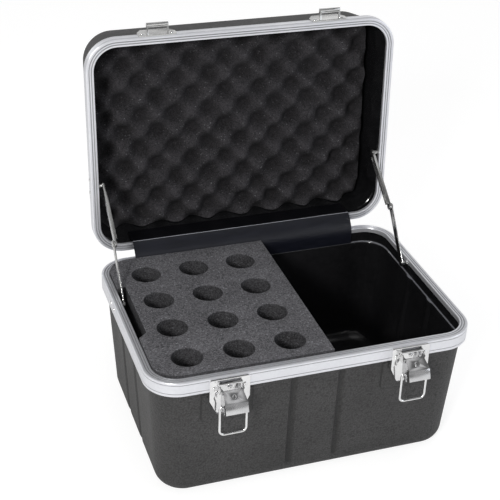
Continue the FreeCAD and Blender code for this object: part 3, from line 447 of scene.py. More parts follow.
aluminium = make_aluminium()
chrome = make_metal("polished_chrome", (0.66, 0.66, 0.67), (0.92, 0.92, 0.92), 0.05, 0.16, 0.12 * mm)
hinge_steel = make_metal("hinge_zinc_steel", (0.42, 0.42, 0.41), (0.66, 0.66, 0.64), 0.24, 0.42, 0.1 * mm)
stay_steel = make_metal("stay_nickel_steel", (0.46, 0.46, 0.46), (0.74, 0.74, 0.73), 0.12, 0.3, 0.15 * mm)
lever_steel = make_metal("lever_satin_chrome", (0.48, 0.48, 0.49), (0.72, 0.72, 0.73), 0.10, 0.20, 0.04 * mm)
print("metals:", [m.name for m in (aluminium, chrome, hinge_steel, stay_steel, lever_steel)])

# %% [markdown]
# ## From points to a piece
# Every rebuilt part ends the same way: a mesh with shared points, smooth shading that breaks at
# real edges, its finish, the body that it moves with, and the frame's node that it stands for. Its
# object stays at the origin, and its place is in its mesh.

# %% Piece helpers
def smooth(mesh, edge_angle=35.0):
    """Smooth shading, except over edges that turn more than the angle."""
    mesh.shade_smooth()
    mesh.set_sharp_from_angle(angle=math.radians(edge_angle))
    return mesh


def hosted(name, data):
    """Object in the scene that holds a mesh, a lamp or a lens."""
    made = bpy.data.objects.new(name, data)
    scene.collection.objects.link(made)
    return made


def piece(name, mesh, nodes, finishes=(), body=None):
    """Makes a finished mesh one of the case's pieces, in place of frame nodes."""
    made = hosted(name, mesh)
    for finish in finishes:
        mesh.materials.append(finish)
    if body is not None:
        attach(made, body)
    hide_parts(*nodes)
    return made


def baked(host):
    """Plain mesh of an object with its modifiers, which then lose their host."""
    graph = bpy.context.evaluated_depsgraph_get()
    mesh = bpy.data.meshes.new_from_object(host.evaluated_get(graph))
    bpy.data.objects.remove(host)
    return mesh


def mesh_from(name, points, faces):
    """Mesh from lists of points and faces."""
    mesh = bpy.data.meshes.new(name)
    mesh.from_pydata([tuple(map(float, p)) for p in points], [], faces)
    mesh.update()
    return mesh


def carry(mesh, name, values):
    """Stores one number for each point of a mesh, which its finish or its tree reads."""
    attribute = mesh.attributes.new(name, "FLOAT", "POINT")
    attribute.data.foreach_set("value", np.asarray(values, np.float32).ravel())


def recalculated(mesh):
    """Turns every face of a closed mesh outwards."""
    fixed = bmesh.new()
    fixed.from_mesh(mesh)
    bmesh.ops.recalc_face_normals(fixed, faces=fixed.faces)
    fixed.to_mesh(mesh)
    fixed.free()
    return mesh


body_of_node = {name: node["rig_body"] for name, node in frame["nodes"].items()}
print("piece helpers ready")

# %% [markdown]
# ## Outlines and lofts
# Both shells follow rounded rectangles that shrink with depth. If every outline has the same number
# of points, in the same order, a shell is a stack of outlines with faces between neighbours. Points lie
# closer together where a channel or a pad edge will need them.

# %% Outline and loft
def stations(limit, spacing, features):
    """Places along a side from -limit to limit: evenly spaced, and closer within each (place, reach)."""
    places = list(np.arange(-limit, limit + spacing / 2, spacing))
    for middle, reach, fine in features:
        places = [p for p in places if abs(p - middle) > reach]
        places += list(np.arange(middle - reach, middle + reach + fine / 2, fine))
    return np.array(sorted(places))


def outline(half_x, half_y, radius, along_x, along_y, corner_steps=14):
    """Points round a rounded rectangle, anticlockwise from the front's left end."""
    points = []
    for turn, (near, far, places) in enumerate(((half_x, half_y, along_x), (half_y, half_x, along_y)) * 2):
        straight = near - radius
        side = [(p, -far) for p in (-straight, *places, straight)]
        for step in range(1, corner_steps):
            angle = math.pi / 2 * step / corner_steps
            side.append((straight + radius * math.sin(angle), -far + radius * (1 - math.cos(angle))))
        c, s = round(math.cos(turn * math.pi / 2)), round(math.sin(turn * math.pi / 2))
        points += [(x * c - y * s, x * s + y * c) for x, y in side]
    return np.array(points)


def loft(name, rings, close_caps=True, ring_closed=False):
    """Mesh through rings of equally many (x, y, z) points; the ends are closed with one flat face each."""
    count = len(rings[0])
    points = np.concatenate(rings)
    faces = []
    pairs = [(k, k + 1) for k in range(len(rings) - 1)] + ([(len(rings) - 1, 0)] if ring_closed else [])
    for low, high in pairs:
        for n in range(count):
            after = (n + 1) % count
            faces.append((low * count + n, low * count + after, high * count + after, high * count + n))
    if close_caps:
        faces.append(tuple(reversed(range(count))))
        faces.append(tuple(range((len(rings) - 1) * count, len(rings) * count)))
    return mesh_from(name, points, faces)


def ring_at(half_x, half_y, radius, height, along_x, along_y):
    """Outline raised to a height."""
    flat = outline(half_x, half_y, radius, along_x, along_y)
    return np.column_stack([flat, np.full(len(flat), height)])


def inside_from(mesh, first_inside):
    """Gives the second finish to the faces that start at or after a point."""
    inside = [int(face.vertices[0] >= first_inside) for face in mesh.polygons]
    mesh.polygons.foreach_set("material_index", inside)


bare = outline(half_width, half_depth, corner_radius, np.zeros(1), np.zeros(1))
print("a bare outline has", len(bare), "points")

# %% [markdown]
# ## The base's moulded tub
# From the bottom up: a rounded edge, drafted walls, a shoulder that steps out, and a straight band
# that the rim grips. Inside, the same path runs back down, so the tub is one closed skin with real
# thickness. Two round-bottomed channels stiffen the front and each side, and a raised pad backs each
# latch. These are not separate parts but dents and swellings of the skin, so they are moves of its
# points, and each move also tells the finish where it dented or stepped.

# %% Base tub sizes
base_inset = 5.2 * mm
side_taper, front_taper = 10.4 * mm, 7.6 * mm
band_inset = 2.0 * mm
band_top = rim_z - 2.4 * mm
shoulder_z = rim_z - 17 * mm
neck_z, neck_inset = rim_z - 25 * mm, 5.1 * mm
ledge_z, band_inner = rim_z - 21.5 * mm, 8.1 * mm
floor_z = wall
front_channel = {"width": 8.7 * mm, "depth": 2.5 * mm, "end": 23 * mm}
side_channel = {"width": 12 * mm, "depth": 2.0 * mm, "end": 12 * mm}
channel_places = (-30 * mm, 30 * mm)
latch_x = 112 * mm
pad_half, pad_drop, pad_rise, pad_corner = 31 * mm, 66 * mm, 1.5 * mm, 8 * mm
pad_sides = [s * (latch_x + t * pad_half) for s in (-1, 1) for t in (-1, 1)]
front_places = stations(150 * mm, 7 * mm, [(x, 7.5 * mm, 0.75 * mm) for x in channel_places]
                        + [(x, 3 * mm, 0.75 * mm) for x in pad_sides])
side_places = stations(91 * mm, 7 * mm, [(y, 9.5 * mm, 0.9 * mm) for y in channel_places])
wall_heights = (*np.arange(22, 104, 3.5), *np.arange(104, 118, 1.0), *np.arange(118, 149, 4.0), 149, 150.6)
inner_heights = (*np.arange(149, 26, -4.5), 25, 22.5)
neck_round = ((0, 0.9), (0.25, 0.3), (0.9, 0))
ledge_round = ((3.0, 0), (1.4, 0.1), (0.5, 0.35), (0.1, 0.6))
under_ledge_round = ((0.1, 1.0), (0.5, 0.5), (1.2, 0.2), (2.2, 0.05), (3.6, 0))
ledge_highlight_share = (0.3, 1.0, 1.0, 0.4)
wall_zone = 25 * mm


def drafted(height, extra):
    """Ring of the base's drafted wall at a height, drawn in by extra."""
    share = (rim_z - height) / rim_z
    return ring_at(half_width - base_inset - side_taper * share - extra,
                   half_depth - base_inset - front_taper * share - extra,
                   corner_radius - base_inset - extra, height, front_places, side_places)


def straight(height, inset):
    """Ring of a straight band at a height and inset."""
    return ring_at(half_width - inset, half_depth - inset, corner_radius - inset, height,
                   front_places, side_places)


def rounded_end(start_z, radius, extra, steps):
    """Heights and extra insets of a quarter round that ends flat, flat side first."""
    angles = [math.pi / 2 * k / steps for k in range(steps + 1)]
    return [(start_z + radius * (1 - math.cos(a)), extra + radius * (1 - math.sin(a))) for a in angles]


print("tub outline:", len(drafted(shoulder_z, 0)), "points")

# %% Dents and pads
def groove_depth(distance, channel, thickness):
    """Depth of a round-bottomed channel at a distance from its middle line."""
    radius = (channel["width"] ** 2 / 4 + channel["depth"] ** 2) / (2 * channel["depth"])
    reach = np.clip((radius + thickness) ** 2 - distance ** 2, 0, None)
    depth = np.sqrt(reach) - (radius + thickness - channel["depth"])
    soft = 0.5 * mm
    return np.where(depth > -4 * soft, soft * np.log1p(np.exp(np.clip(depth / soft, -30, 30))), 0)


def press_channels(points, thickness):
    """Moves skin points inwards where a channel runs, and gives back each point's share of its depth."""
    share = np.zeros(len(points))
    on_front = points[:, 1] < -half_depth + wall_zone
    on_side = np.abs(points[:, 0]) > half_width - wall_zone
    for axis, channel, on_wall in ((0, front_channel, on_front), (1, side_channel, on_side)):
        for place in channel_places:
            below = np.clip(channel["end"] - points[:, 2], 0, None)
            distance = np.hypot(points[:, axis] - place, below)
            depth = groove_depth(distance, channel, thickness) * on_wall
            points[:, 1 - axis] -= np.sign(points[:, 1 - axis]) * depth
            share += depth / channel["depth"]
    return share


def raise_pads(points):
    """Moves front skin points outwards behind each latch, and gives back 1 along the pads' edges."""
    edges = np.zeros(len(points))
    front = points[:, 1] < -half_depth + wall_zone
    for side in (-1, 1):
        across = np.abs(points[:, 0] - side * latch_x) - (pad_half - pad_corner)
        down = (rim_z - pad_drop + pad_corner) - points[:, 2]
        edge = np.hypot(np.clip(across, 0, None), np.clip(down, 0, None)) - pad_corner
        lift = np.clip(0.5 - edge / (2.2 * mm), 0, 1)
        points[:, 1] -= pad_rise * lift * lift * (3 - 2 * lift) * front
        edges += 6 * lift * (1 - lift) * front
    return edges


print("deepest groove:", round(float(groove_depth(np.zeros(1), front_channel, 0)[0]) / mm, 2), "mm")

# %% Build the tub
def base_tub():
    """Closed skin of the base: up the outside, over the band, and down the inside."""
    outer = [drafted(z, extra) for z, extra in rounded_end(0, edge_radius, 0, 12)]
    outer += [drafted(z * mm, 0) for z in wall_heights]
    # How far each outer point is dented or stepped, which the finish turns into painted shade.
    dents = [press_channels(ring, 0) + raise_pads(ring) for ring in outer]
    step = [straight(neck_z + rise * mm, neck_inset + out * mm) for rise, out in neck_round]
    step += [straight(shoulder_z, neck_inset), straight(shoulder_z, band_inset),
             straight(band_top, band_inset), straight(band_top, band_inner)]
    outside_rings = len(outer) + len(step) - 1
    ledge = [straight(ledge_z + rise * mm, band_inner + out * mm) for rise, out in ledge_round]
    inner = [drafted(ledge_z - drop * mm, wall - less * mm) for drop, less in under_ledge_round]
    inner += [drafted(z * mm, wall) for z in inner_heights]
    inner += [drafted(z, extra) for z, extra in reversed(rounded_end(floor_z, edge_radius - wall, wall, 9))]
    for ring in inner:
        press_channels(ring, wall)
    rings = outer + step + ledge + inner
    mesh = loft("base_tub", rings)
    per_ring = len(rings[0])
    inside_from(mesh, outside_rings * per_ring)
    dented, highlight_values = np.zeros((2, len(rings), per_ring))
    dented[:len(outer)] = dents
    # The ledge's rounding carries the painted highlight.
    first_highlight_ring = len(outer) + len(step) + 2
    highlight_values[first_highlight_ring:first_highlight_ring + len(ledge_highlight_share)] = np.array(ledge_highlight_share)[:, None]
    carry(mesh, "dent", dented)
    carry(mesh, "rub", highlight_values)
    return smooth(mesh)


tub = piece("base_tub_moulded", base_tub(), ["base_shell"], plastics, "base")
print("tub faces:", len(tub.data.polygons))

# %% [markdown]
# ## The lid
# The lid is the same kind of moulding, shallower and with plain walls. It is lofted as if shut,
# from its flat top down to the rim and up again inside, then swung open with the matrix from above.

# %% Build the lid
lid_inset, lid_taper = 3 * mm, 10 * mm
lid_top = lid_z + lid_height
lid_shoulder = lid_z + 10.2 * mm
lid_ledge = lid_shoulder + 3.5 * mm
lid_band_edge = lid_z + 2.4 * mm
lid_wall_heights, lid_inner_heights = np.arange(242, 189, -5.0), np.arange(195, 244, 6.0)
plain_x, plain_y = stations(150 * mm, 10 * mm, []), stations(90 * mm, 10 * mm, [])


def lid_ring(height, extra):
    """Ring of the shut lid's drafted wall."""
    inset = lid_inset + lid_taper * (height - rim_z) / lid_height + extra
    return ring_at(half_width - inset, half_depth - inset, corner_radius - lid_inset - extra, height,
                   plain_x, plain_y)


def lid_band(height, inset):
    """Ring of the shut lid's straight band."""
    return ring_at(half_width - inset, half_depth - inset, corner_radius - inset, height,
                   plain_x, plain_y)


def lid_tub():
    """Closed skin of the lid, made as if shut and then swung open."""
    outer = [lid_ring(lid_top - z, extra) for z, extra in rounded_end(0, edge_radius, 0, 12)]
    outer += [lid_ring(z * mm, 0) for z in lid_wall_heights]
    step = [lid_ring(lid_shoulder + 0.4 * mm, 0), lid_ring(lid_shoulder, -0.4 * mm),
            lid_band(lid_shoulder, band_inset), lid_band(lid_band_edge, band_inset),
            lid_band(lid_band_edge, band_inner), lid_band(lid_ledge, band_inner)]
    inner = [lid_ring(lid_ledge + 0.6 * mm, wall)]
    inner += [lid_ring(z * mm, wall) for z in lid_inner_heights]
    depth = edge_radius - wall
    inner += [lid_ring(lid_top - z, extra) for z, extra in reversed(rounded_end(floor_z, depth, wall, 9))]
    mesh = loft("lid_tub", outer + step + inner)
    inside_from(mesh, (len(outer) + 3) * len(outer[0]))
    mesh.flip_normals()
    mesh.transform(opened)
    return smooth(mesh)


lid = piece("lid_tub_moulded", lid_tub(), ["lid_shell"], plastics, "lid")
print("lid faces:", len(lid.data.polygons))

# %% [markdown]
# ## Rims that follow a path
# A rim is an aluminium extrusion: one profile, bent round the case. Geometry Nodes do just that with
# Curve to Mesh. The profile is a closed outline drawn as distance inwards and distance away from the
# rim plane. The tree stores how far round the profile each point lies, for the die lines' pattern.

# %% The sweep tree
def close_tree(tree, geometry, finish, end):
    """Ends a geometry tree: everything real, and in its finish."""
    real = add(tree, "GeometryNodeRealizeInstances", {0: geometry})
    coated = add(tree, "GeometryNodeSetMaterial", {"Geometry": real.outputs[0], "Material": finish})
    tree.links.new(coated.outputs[0], end.inputs["Result"])
    return tree


def make_sweep():
    """Sweeps a profile object's outline along the host's closed path."""
    tree = bpy.data.node_groups.new("sweep_along_path", "GeometryNodeTree")
    start, end = sockets(tree, [("Path", GEOMETRY, None), ("Profile", "NodeSocketObject", None),
                                ("Finish", "NodeSocketMaterial", None)], [("Result", GEOMETRY)])
    path = add(tree, "GeometryNodeMeshToCurve", {"Mesh": start.outputs["Path"]})
    upright = add(tree, "GeometryNodeSetCurveNormal", {"Curve": path.outputs[0]}, mode="Z_UP")
    info = add(tree, "GeometryNodeObjectInfo", {"Object": start.outputs["Profile"]})
    outline_curve = add(tree, "GeometryNodeMeshToCurve", {"Mesh": info.outputs["Geometry"]})
    length = add(tree, "GeometryNodeSplineParameter")
    noted = add(tree, "GeometryNodeStoreNamedAttribute",
                {"Geometry": outline_curve.outputs[0], "Name": "across", "Value": length.outputs["Length"]},
                data_type="FLOAT", domain="POINT")
    swept = add(tree, "GeometryNodeCurveToMesh",
                {"Curve": upright.outputs[0], "Profile Curve": noted.outputs[0]})
    return close_tree(tree, swept.outputs[0], start.outputs["Finish"], end)


def with_nodes(host, tree, **values):
    """Gives a host a Geometry Nodes modifier, with inputs found by their sockets' identifiers."""
    modifier = host.modifiers.new(tree.name, "NODES")
    modifier.node_group = tree
    for socket in tree.interface.items_tree:
        if socket.in_out == "INPUT" and socket.name.replace(" ", "_") in values:
            modifier[socket.identifier] = values[socket.name.replace(" ", "_")]
    return host


def closed_line(name, points):
    """Object whose mesh is a closed chain of edges."""
    mesh = bpy.data.meshes.new(name)
    edges = [(k, (k + 1) % len(points)) for k in range(len(points))]
    mesh.from_pydata([tuple(map(float, p)) for p in points], edges, [])
    return hosted(name, mesh)


sweep_tree = make_sweep()
print("sweep tree:", len(sweep_tree.nodes), "nodes")

# %% Rim profiles
def rim_profile(height, inner_height, lip):
    """Profile of a rim as (inwards, away) points: flanges, rounded edge, two grooves and a lip."""
    sheet, web, inner_sheet, lip_sheet = 1.8 * mm, 2.2 * mm, 1.5 * mm, 1.6 * mm
    groove, deep, bevel, edge = 1.1 * mm, 0.8 * mm, 0.35 * mm, 1.5 * mm
    points = [(sheet, height - lip_sheet), (sheet, web), (face_width - inner_sheet, web),
              (face_width - inner_sheet, inner_height), (face_width - bevel, inner_height),
              (face_width, inner_height - bevel), (face_width, 2 * bevel), (face_width - bevel, 0.4 * bevel),
              (face_width - 3 * bevel, 0)]
    for place in (6.5 * mm, 3.6 * mm):
        points += [(place + groove + 0.15 * mm, 0), (place + groove - 0.1 * mm, deep * 0.85),
                   (place + groove / 2, deep), (place + 0.1 * mm, deep * 0.85), (place - 0.15 * mm, 0)]
    points += [(edge * (1 - math.sin(a)), edge * (1 - math.cos(a)))
               for a in (math.pi / 2 * k / 6 for k in range(7))]
    for place in (0.19, 0.8):
        middle = height * place
        points += [(0, middle - 0.5 * mm), (0.45 * mm, middle - 0.15 * mm), (0.45 * mm, middle + 0.15 * mm),
                   (0, middle + 0.5 * mm)]
    points += [(0, height - bevel), (bevel, height), (sheet + lip, height),
               (sheet + lip, height - lip_sheet)]
    return points


def groove_share(inwards, far, height):
    """1 at the bottom of a groove, where shade is painted, 0 on the open faces."""
    on_face = 0 < far <= 0.8 * mm and 2 * mm < inwards < face_width - 1.2 * mm
    on_flange = 0 < inwards <= 0.45 * mm and 1.6 * mm < far < height - 0.5 * mm
    return float(on_face or on_flange)


def rim_piece(name, node, body, z, away, sizes):
    """Sweeps a rim round the case; sizes are its height, its inner flange's height and its lip."""
    path = closed_line("rim_path", ring_at(half_width, half_depth, corner_radius, z, plain_x, plain_y))
    section = rim_profile(*sizes)
    profile = closed_line("rim_profile", [(-inwards, -away * far, 0) for inwards, far in section])
    # Where the rim's finish paints shade in its grooves.
    carry(profile.data, "sunk", [groove_share(*point, sizes[0]) for point in section])
    with_nodes(path, sweep_tree, Profile=profile, Finish=aluminium)
    mesh = baked(path)
    bpy.data.objects.remove(profile)
    low = min(v.co.z for v in mesh.vertices)
    wide = max(v.co.x for v in mesh.vertices)
    print(name, "lowest", round(low / mm, 2), "widest", round(wide / mm, 2), "mm")
    if body == "lid":
        mesh.transform(opened)
    return piece(name, smooth(recalculated(mesh), 28), [node], (), body)


rim_piece("base_rim_extruded", "base_rim", "base", rim_z, -1, (19 * mm, 6.5 * mm, 3.1 * mm))
rim_piece("lid_rim_extruded", "lid_rim", "lid", lid_z, 1, (12.2 * mm, 4.6 * mm, 0.9 * mm))

# %% [markdown]
# ## Foam block with twelve pockets
# The block is knife cut: flat faces, slightly rounded edges, straight round pockets. Its outline
# follows the tub at the left and is cut straight at the right. We make two flat faces with holes and
# stitch walls between their loops, with three short steps at the top for the soft edge.

# %% Foam outline and pockets
foam_low, foam_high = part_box("mic_foam_block")
pocket_radius, pocket_pitch, pocket_soft_edge = 18.75 * mm, 62.8 * mm, 0.45 * mm
pocket_start = (-149.6 * mm, -100.9 * mm)
block_corner = 29.5 * mm
pockets = [(pocket_start[0] + c * pocket_pitch, pocket_start[1] + r * pocket_pitch)
           for c in range(3) for r in range(4)]


def block_outline(inset_x, inset_y, radius, shrink=0):
    """Foam outline: rounded at the left, square at the right, anticlockwise."""
    left, right = -half_width + inset_x + shrink, foam_high.x - shrink
    front, back = -half_depth + inset_y + shrink, min(half_depth - inset_y, foam_high.y) - shrink
    turn = radius - shrink
    points = [(right, front), (right, back)]
    for quarter, middle in ((1, back - turn), (2, front + turn)):
        for k in range(13):
            angle = math.pi / 2 * (quarter + k / 12)
            points.append((left + turn + turn * math.cos(angle), middle + turn * math.sin(angle)))
    return points


def circle(centre, radius, steps=64):
    """Points round a circle, anticlockwise from its right."""
    return [(centre[0] + radius * math.cos(2 * math.pi * k / steps),
             centre[1] + radius * math.sin(2 * math.pi * k / steps)) for k in range(steps)]


def holed_block(name, levels, holes, hole_radius, soft):
    """Closed block through outlines at several heights, with round holes all the way through."""
    made = bmesh.new()
    top = levels[-1][1]

    def loop(points, z):
        return [made.verts.new((x, y, z)) for x, y in points]

    def stitch(loops, flip):
        for low, high in zip(loops, loops[1:]):
            for k in range(len(low)):
                after = (k + 1) % len(low)
                corners = (low[k], low[after], high[after], high[k])
                made.faces.new(corners[::-1] if flip else corners)

    def cap(loops):
        edges = []
        for ring in loops:
            for k, vert in enumerate(ring):
                after = ring[(k + 1) % len(ring)]
                edges.append(made.edges.get((vert, after)) or made.edges.new((vert, after)))
        bmesh.ops.triangle_fill(made, use_beauty=True, edges=edges)

    turns = [math.pi / 2 * k / 4 for k in range(5)]
    walls = [loop(outline_at(0), z) for outline_at, z in levels[:-1]]
    walls += [loop(levels[-1][0](soft * (1 - math.cos(a))), top - soft * (1 - math.sin(a))) for a in turns]
    stitch(walls, False)
    bores = []
    for hole in holes:
        rings = [loop(circle(hole, hole_radius), levels[0][1])]
        rings += [loop(circle(hole, hole_radius + soft * (1 - math.cos(a))), top - soft * (1 - math.sin(a)))
                  for a in turns]
        stitch(rings, True)
        bores.append(rings)
    cap([walls[-1]] + [rings[-1] for rings in bores])
    cap([walls[0]] + [rings[0] for rings in bores])
    bmesh.ops.recalc_face_normals(made, faces=made.faces)
    mesh = bpy.data.meshes.new(name)
    made.to_mesh(mesh)
    made.free()
    return mesh


print("pockets:", len(pockets))

# %% Cut the foam and its pad
def drafted_inset(height):
    """Insets of the room inside the drafted walls at a height, with the soft gap."""
    share = (rim_z - height) / rim_z
    reach = base_inset + wall + soft_gap
    return (max(reach + side_taper * share, face_width + soft_gap),
            max(reach + front_taper * share, face_width + soft_gap))


def level(height):
    """Foam outline at a height, as a function of how far it shrinks, and the height itself."""
    inset_x, inset_y = drafted_inset(height)
    turn = edge_radius - wall
    over = min(1.0, max(0.0, 1 - (height - floor_z - soft_gap) / turn))
    extra = turn * (1 - math.sqrt(1 - over * over))

    def outline_at(shrink):
        return block_outline(inset_x + extra, inset_y + extra, block_corner - extra, shrink)

    return outline_at, height


def stay_slot_cutter():
    """Narrow room at the left edge for the folded stay, with a slanted front end."""
    slot_width = 10.9 * mm
    left, right = -half_width, -half_width + face_width + soft_gap + slot_width
    front, back, tip = -40 * mm, 65.4 * mm, 9 * mm
    bottom, above = rim_z - 36 * mm, rim_z + 20 * mm
    flat = [(left, front - tip), (right - slot_width, front - tip), (right, front), (right, back),
            (left, back)]
    low = [(x, y, bottom) for x, y in flat]
    high = [(x, y, above) for x, y in flat]
    faces = [(4, 3, 2, 1, 0), (5, 6, 7, 8, 9)]
    faces += [(k, (k + 1) % 5, (k + 1) % 5 + 5, k + 5) for k in range(5)]
    return hosted("stay_slot_cutter", mesh_from("stay_slot_cutter", low + high, faces))


def pocket_block():
    """Foam block with its pockets and the room for the folded stay."""
    levels = [level(z) for z in (foam_low.z, 60 * mm, 100 * mm, 140 * mm, 152 * mm, foam_high.z)]
    block = holed_block("pocket_block", levels, pockets, pocket_radius, pocket_soft_edge)
    host = hosted("foam_host", block)
    cutter = stay_slot_cutter()
    cut = host.modifiers.new("stay_slot", "BOOLEAN")
    cut.object = cutter
    cut.operation = "DIFFERENCE"
    mesh = baked(host)
    bpy.data.objects.remove(cutter)
    return smooth(mesh, 40)


foam = piece("pocket_foam_cut", pocket_block(), ["mic_foam_block"], (pocket_foam,), "base")
pad_low, pad_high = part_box("foam_base_pad")
pad_levels = [level(pad_low.z + rise * mm) for rise in (0, 0.4, 1.5, 3.5, 6.5, 11, 16)]
pad_levels.append(level(pad_high.z))
pad_mesh = holed_block("base_pad", pad_levels, [], 0, 1.2 * mm)
pad = piece("foam_pad_cut", smooth(pad_mesh, 40), ["foam_base_pad"], (pocket_foam,), "base")
print("foam block faces:", len(foam.data.polygons))

# %% [markdown]
# ## Egg-crate foam by formula
# Convoluted foam is cut so that peaks and hollows alternate on a square grid, set here at 45 degrees.
# The surface is the product of two cosine waves, so Geometry Nodes can make it from a plain grid. Each
# corner square of the grid is bent to a quarter round, the grid is extruded to a block, and only its
# lower side moves with the waves. Noise shifts the waves by some millimetres, because soft foam is
# never cut or laid machine perfect. The block's back is then drawn in where the shell rounds.

# %% Egg-crate tree
def make_egg_crate():
    """Grid, rounded corners, thickness, then waves on the near side."""
    tree = bpy.data.node_groups.new("egg_crate_foam", "GeometryNodeTree")
    names = ("Half X", "Half Y", "Corner", "Thickness", "Half Pitch", "Amplitude", "Phase X", "Phase Y",
             "Warp")
    start, end = sockets(tree, [("Host", GEOMETRY, None), *((name, FLOAT, 0.1) for name in names),
                                ("Finish", "NodeSocketMaterial", None)], [("Result", GEOMETRY)])
    value = start.outputs
    grid = add(tree, "GeometryNodeMeshGrid", {"Size X": calc(tree, "MULTIPLY", value["Half X"], 2.0),
                                              "Size Y": calc(tree, "MULTIPLY", value["Half Y"], 2.0),
                                              "Vertices X": 161, "Vertices Y": 113})
    place = add(tree, "ShaderNodeSeparateXYZ", {0: add(tree, "GeometryNodeInputPosition").outputs[0]})
    straights, excess = [], []
    for axis in "XY":
        inner = calc(tree, "SUBTRACT", value["Half " + axis], value["Corner"])
        over = calc(tree, "SUBTRACT", calc(tree, "ABSOLUTE", place.outputs[axis]), inner)
        excess.append(calc(tree, "MAXIMUM", over, 0.0))
        straights.append((inner, place.outputs[axis]))
    longest = calc(tree, "MAXIMUM", *excess)
    squares = [calc(tree, "MULTIPLY", over, over) for over in excess]
    diagonal = calc(tree, "SQRT", calc(tree, "ADD", *squares))
    ratio = calc(tree, "DIVIDE", longest, calc(tree, "MAXIMUM", diagonal, 0.00001))
    moved = []
    for (inner, here), over in zip(straights, excess):
        inside = calc(tree, "MINIMUM", calc(tree, "ABSOLUTE", here), inner)
        size = calc(tree, "MULTIPLY_ADD", over, ratio, inside)
        moved.append(calc(tree, "MULTIPLY", calc(tree, "SIGN", here), size))
    corners = add(tree, "ShaderNodeCombineXYZ", {"X": moved[0], "Y": moved[1]})
    flat = add(tree, "GeometryNodeSetPosition",
               {"Geometry": grid.outputs["Mesh"], "Position": corners.outputs[0]})
    up = add(tree, "ShaderNodeCombineXYZ", {"Z": 1.0})
    downwards = calc(tree, "MULTIPLY", value["Thickness"], -1.0)
    thick = add(tree, "GeometryNodeExtrudeMesh", {"Mesh": flat.outputs[0], "Offset": up.outputs[0],
                                                  "Offset Scale": downwards, "Individual": False})
    back = add(tree, "GeometryNodeJoinGeometry")
    tree.links.new(thick.outputs["Mesh"], back.inputs[0])
    tree.links.new(flat.outputs[0], back.inputs[0])
    welded = add(tree, "GeometryNodeMergeByDistance", {"Geometry": back.outputs[0], "Distance": 0.00001})
    here = add(tree, "GeometryNodeInputPosition").outputs[0]
    drift = noise(tree, here, 24.0, 1.0)["Color"]
    centred = add(tree, "ShaderNodeVectorMath", {0: drift, 1: (0.5, 0.5, 0.5)}, operation="SUBTRACT")
    push = scaled(tree, centred.outputs[0], value["Warp"])
    shifted = add(tree, "ShaderNodeVectorMath", {0: here, 1: push}, operation="ADD")
    along = add(tree, "ShaderNodeSeparateXYZ", {0: shifted.outputs[0]})
    waves = []
    for axis in "XY":
        from_phase = calc(tree, "SUBTRACT", along.outputs[axis], value["Phase " + axis])
        turns = calc(tree, "DIVIDE", from_phase, value["Half Pitch"])
        waves.append(calc(tree, "COSINE", calc(tree, "MULTIPLY", turns, math.pi)))
    wave = calc(tree, "MULTIPLY", *waves)
    depth = calc(tree, "SUBTRACT", value["Thickness"], calc(tree, "MULTIPLY", value["Amplitude"], wave))
    low = calc(tree, "LESS_THAN", add(tree, "ShaderNodeSeparateXYZ", {0: here}).outputs["Z"],
               calc(tree, "MULTIPLY", value["Thickness"], -0.5))
    offset = add(tree, "ShaderNodeCombineXYZ", {"Z": calc(tree, "SUBTRACT", depth, value["Thickness"])})
    noted = add(tree, "GeometryNodeStoreNamedAttribute", {"Geometry": welded.outputs[0], "Name": "hollow",
                                                          "Value": wave}, data_type="FLOAT", domain="POINT")
    waved = add(tree, "GeometryNodeSetPosition", {"Geometry": noted.outputs[0], "Selection": low,
                                                  "Offset": offset.outputs[0]})
    return close_tree(tree, waved.outputs[0], value["Finish"], end)


crate_tree = make_egg_crate()
print("egg-crate tree:", len(crate_tree.nodes), "nodes")

# %% Make the egg-crate sheet
crate_rise, crate_half_y, crate_corner = 46 * mm, 131 * mm, 31 * mm
crate_phase = (-12 * mm, -2 * mm)
crate_waves = {"Half_Pitch": 23 * mm, "Amplitude": -9.5 * mm, "Warp": 13 * mm}


def egg_crate():
    """Egg-crate sheet in the shut lid, drawn in where the shell rounds, then swung open."""
    crate_low, crate_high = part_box("lid_egg_crate_foam")
    back = lid_top - wall - soft_gap
    reach = Vector((crate_high.x - crate_low.x, crate_high.z - crate_low.z)) / 2
    centre = opened.inverted() @ ((crate_low + crate_high) / 2)
    host = closed_line("crate_host", [(0, 0, 0), (mm, 0, 0), (0, mm, 0)])
    with_nodes(host, crate_tree, Half_X=reach.x, Half_Y=min(reach.y, crate_half_y), Corner=crate_corner,
               Thickness=back - (lid_z + crate_rise), Phase_X=crate_phase[0] - centre.x,
               Phase_Y=crate_phase[1] - centre.y, Finish=crate_foam, **crate_waves)
    mesh = baked(host)
    mesh.transform(Matrix.Translation((centre.x, centre.y, back)))
    turn = edge_radius - wall - soft_gap
    cut = bmesh.new()
    cut.from_mesh(mesh)
    for share in (0.02, 0.08, 0.18, 0.32, 0.5, 0.72, 1.0):
        bmesh.ops.bisect_plane(cut, geom=cut.verts[:] + cut.edges[:] + cut.faces[:],
                               plane_co=(0, 0, back - share * turn), plane_no=(0, 0, 1))
    cut.to_mesh(mesh)
    cut.free()
    for vert in mesh.vertices:
        over = max(0.0, 1 - (back - vert.co.z) / turn)
        drawn = turn * (1 - math.sqrt(1 - over * over))
        inset = lid_inset + drawn + lid_taper * (vert.co.z - lid_z) / lid_height + wall + soft_gap
        room = Vector((half_width - inset, half_depth - inset))
        radius = corner_radius - lid_inset - wall - soft_gap - drawn
        flat = Vector((min(room.x, abs(vert.co.x)), min(room.y, abs(vert.co.y))))
        beyond = flat - room + Vector((radius, radius))
        if min(beyond) > 0 and beyond.length > radius:
            flat += beyond * (radius / beyond.length - 1)
        vert.co.x = math.copysign(flat.x, vert.co.x)
        vert.co.y = math.copysign(flat.y, vert.co.y)
    mesh.transform(opened)
    return smooth(recalculated(mesh), 60)


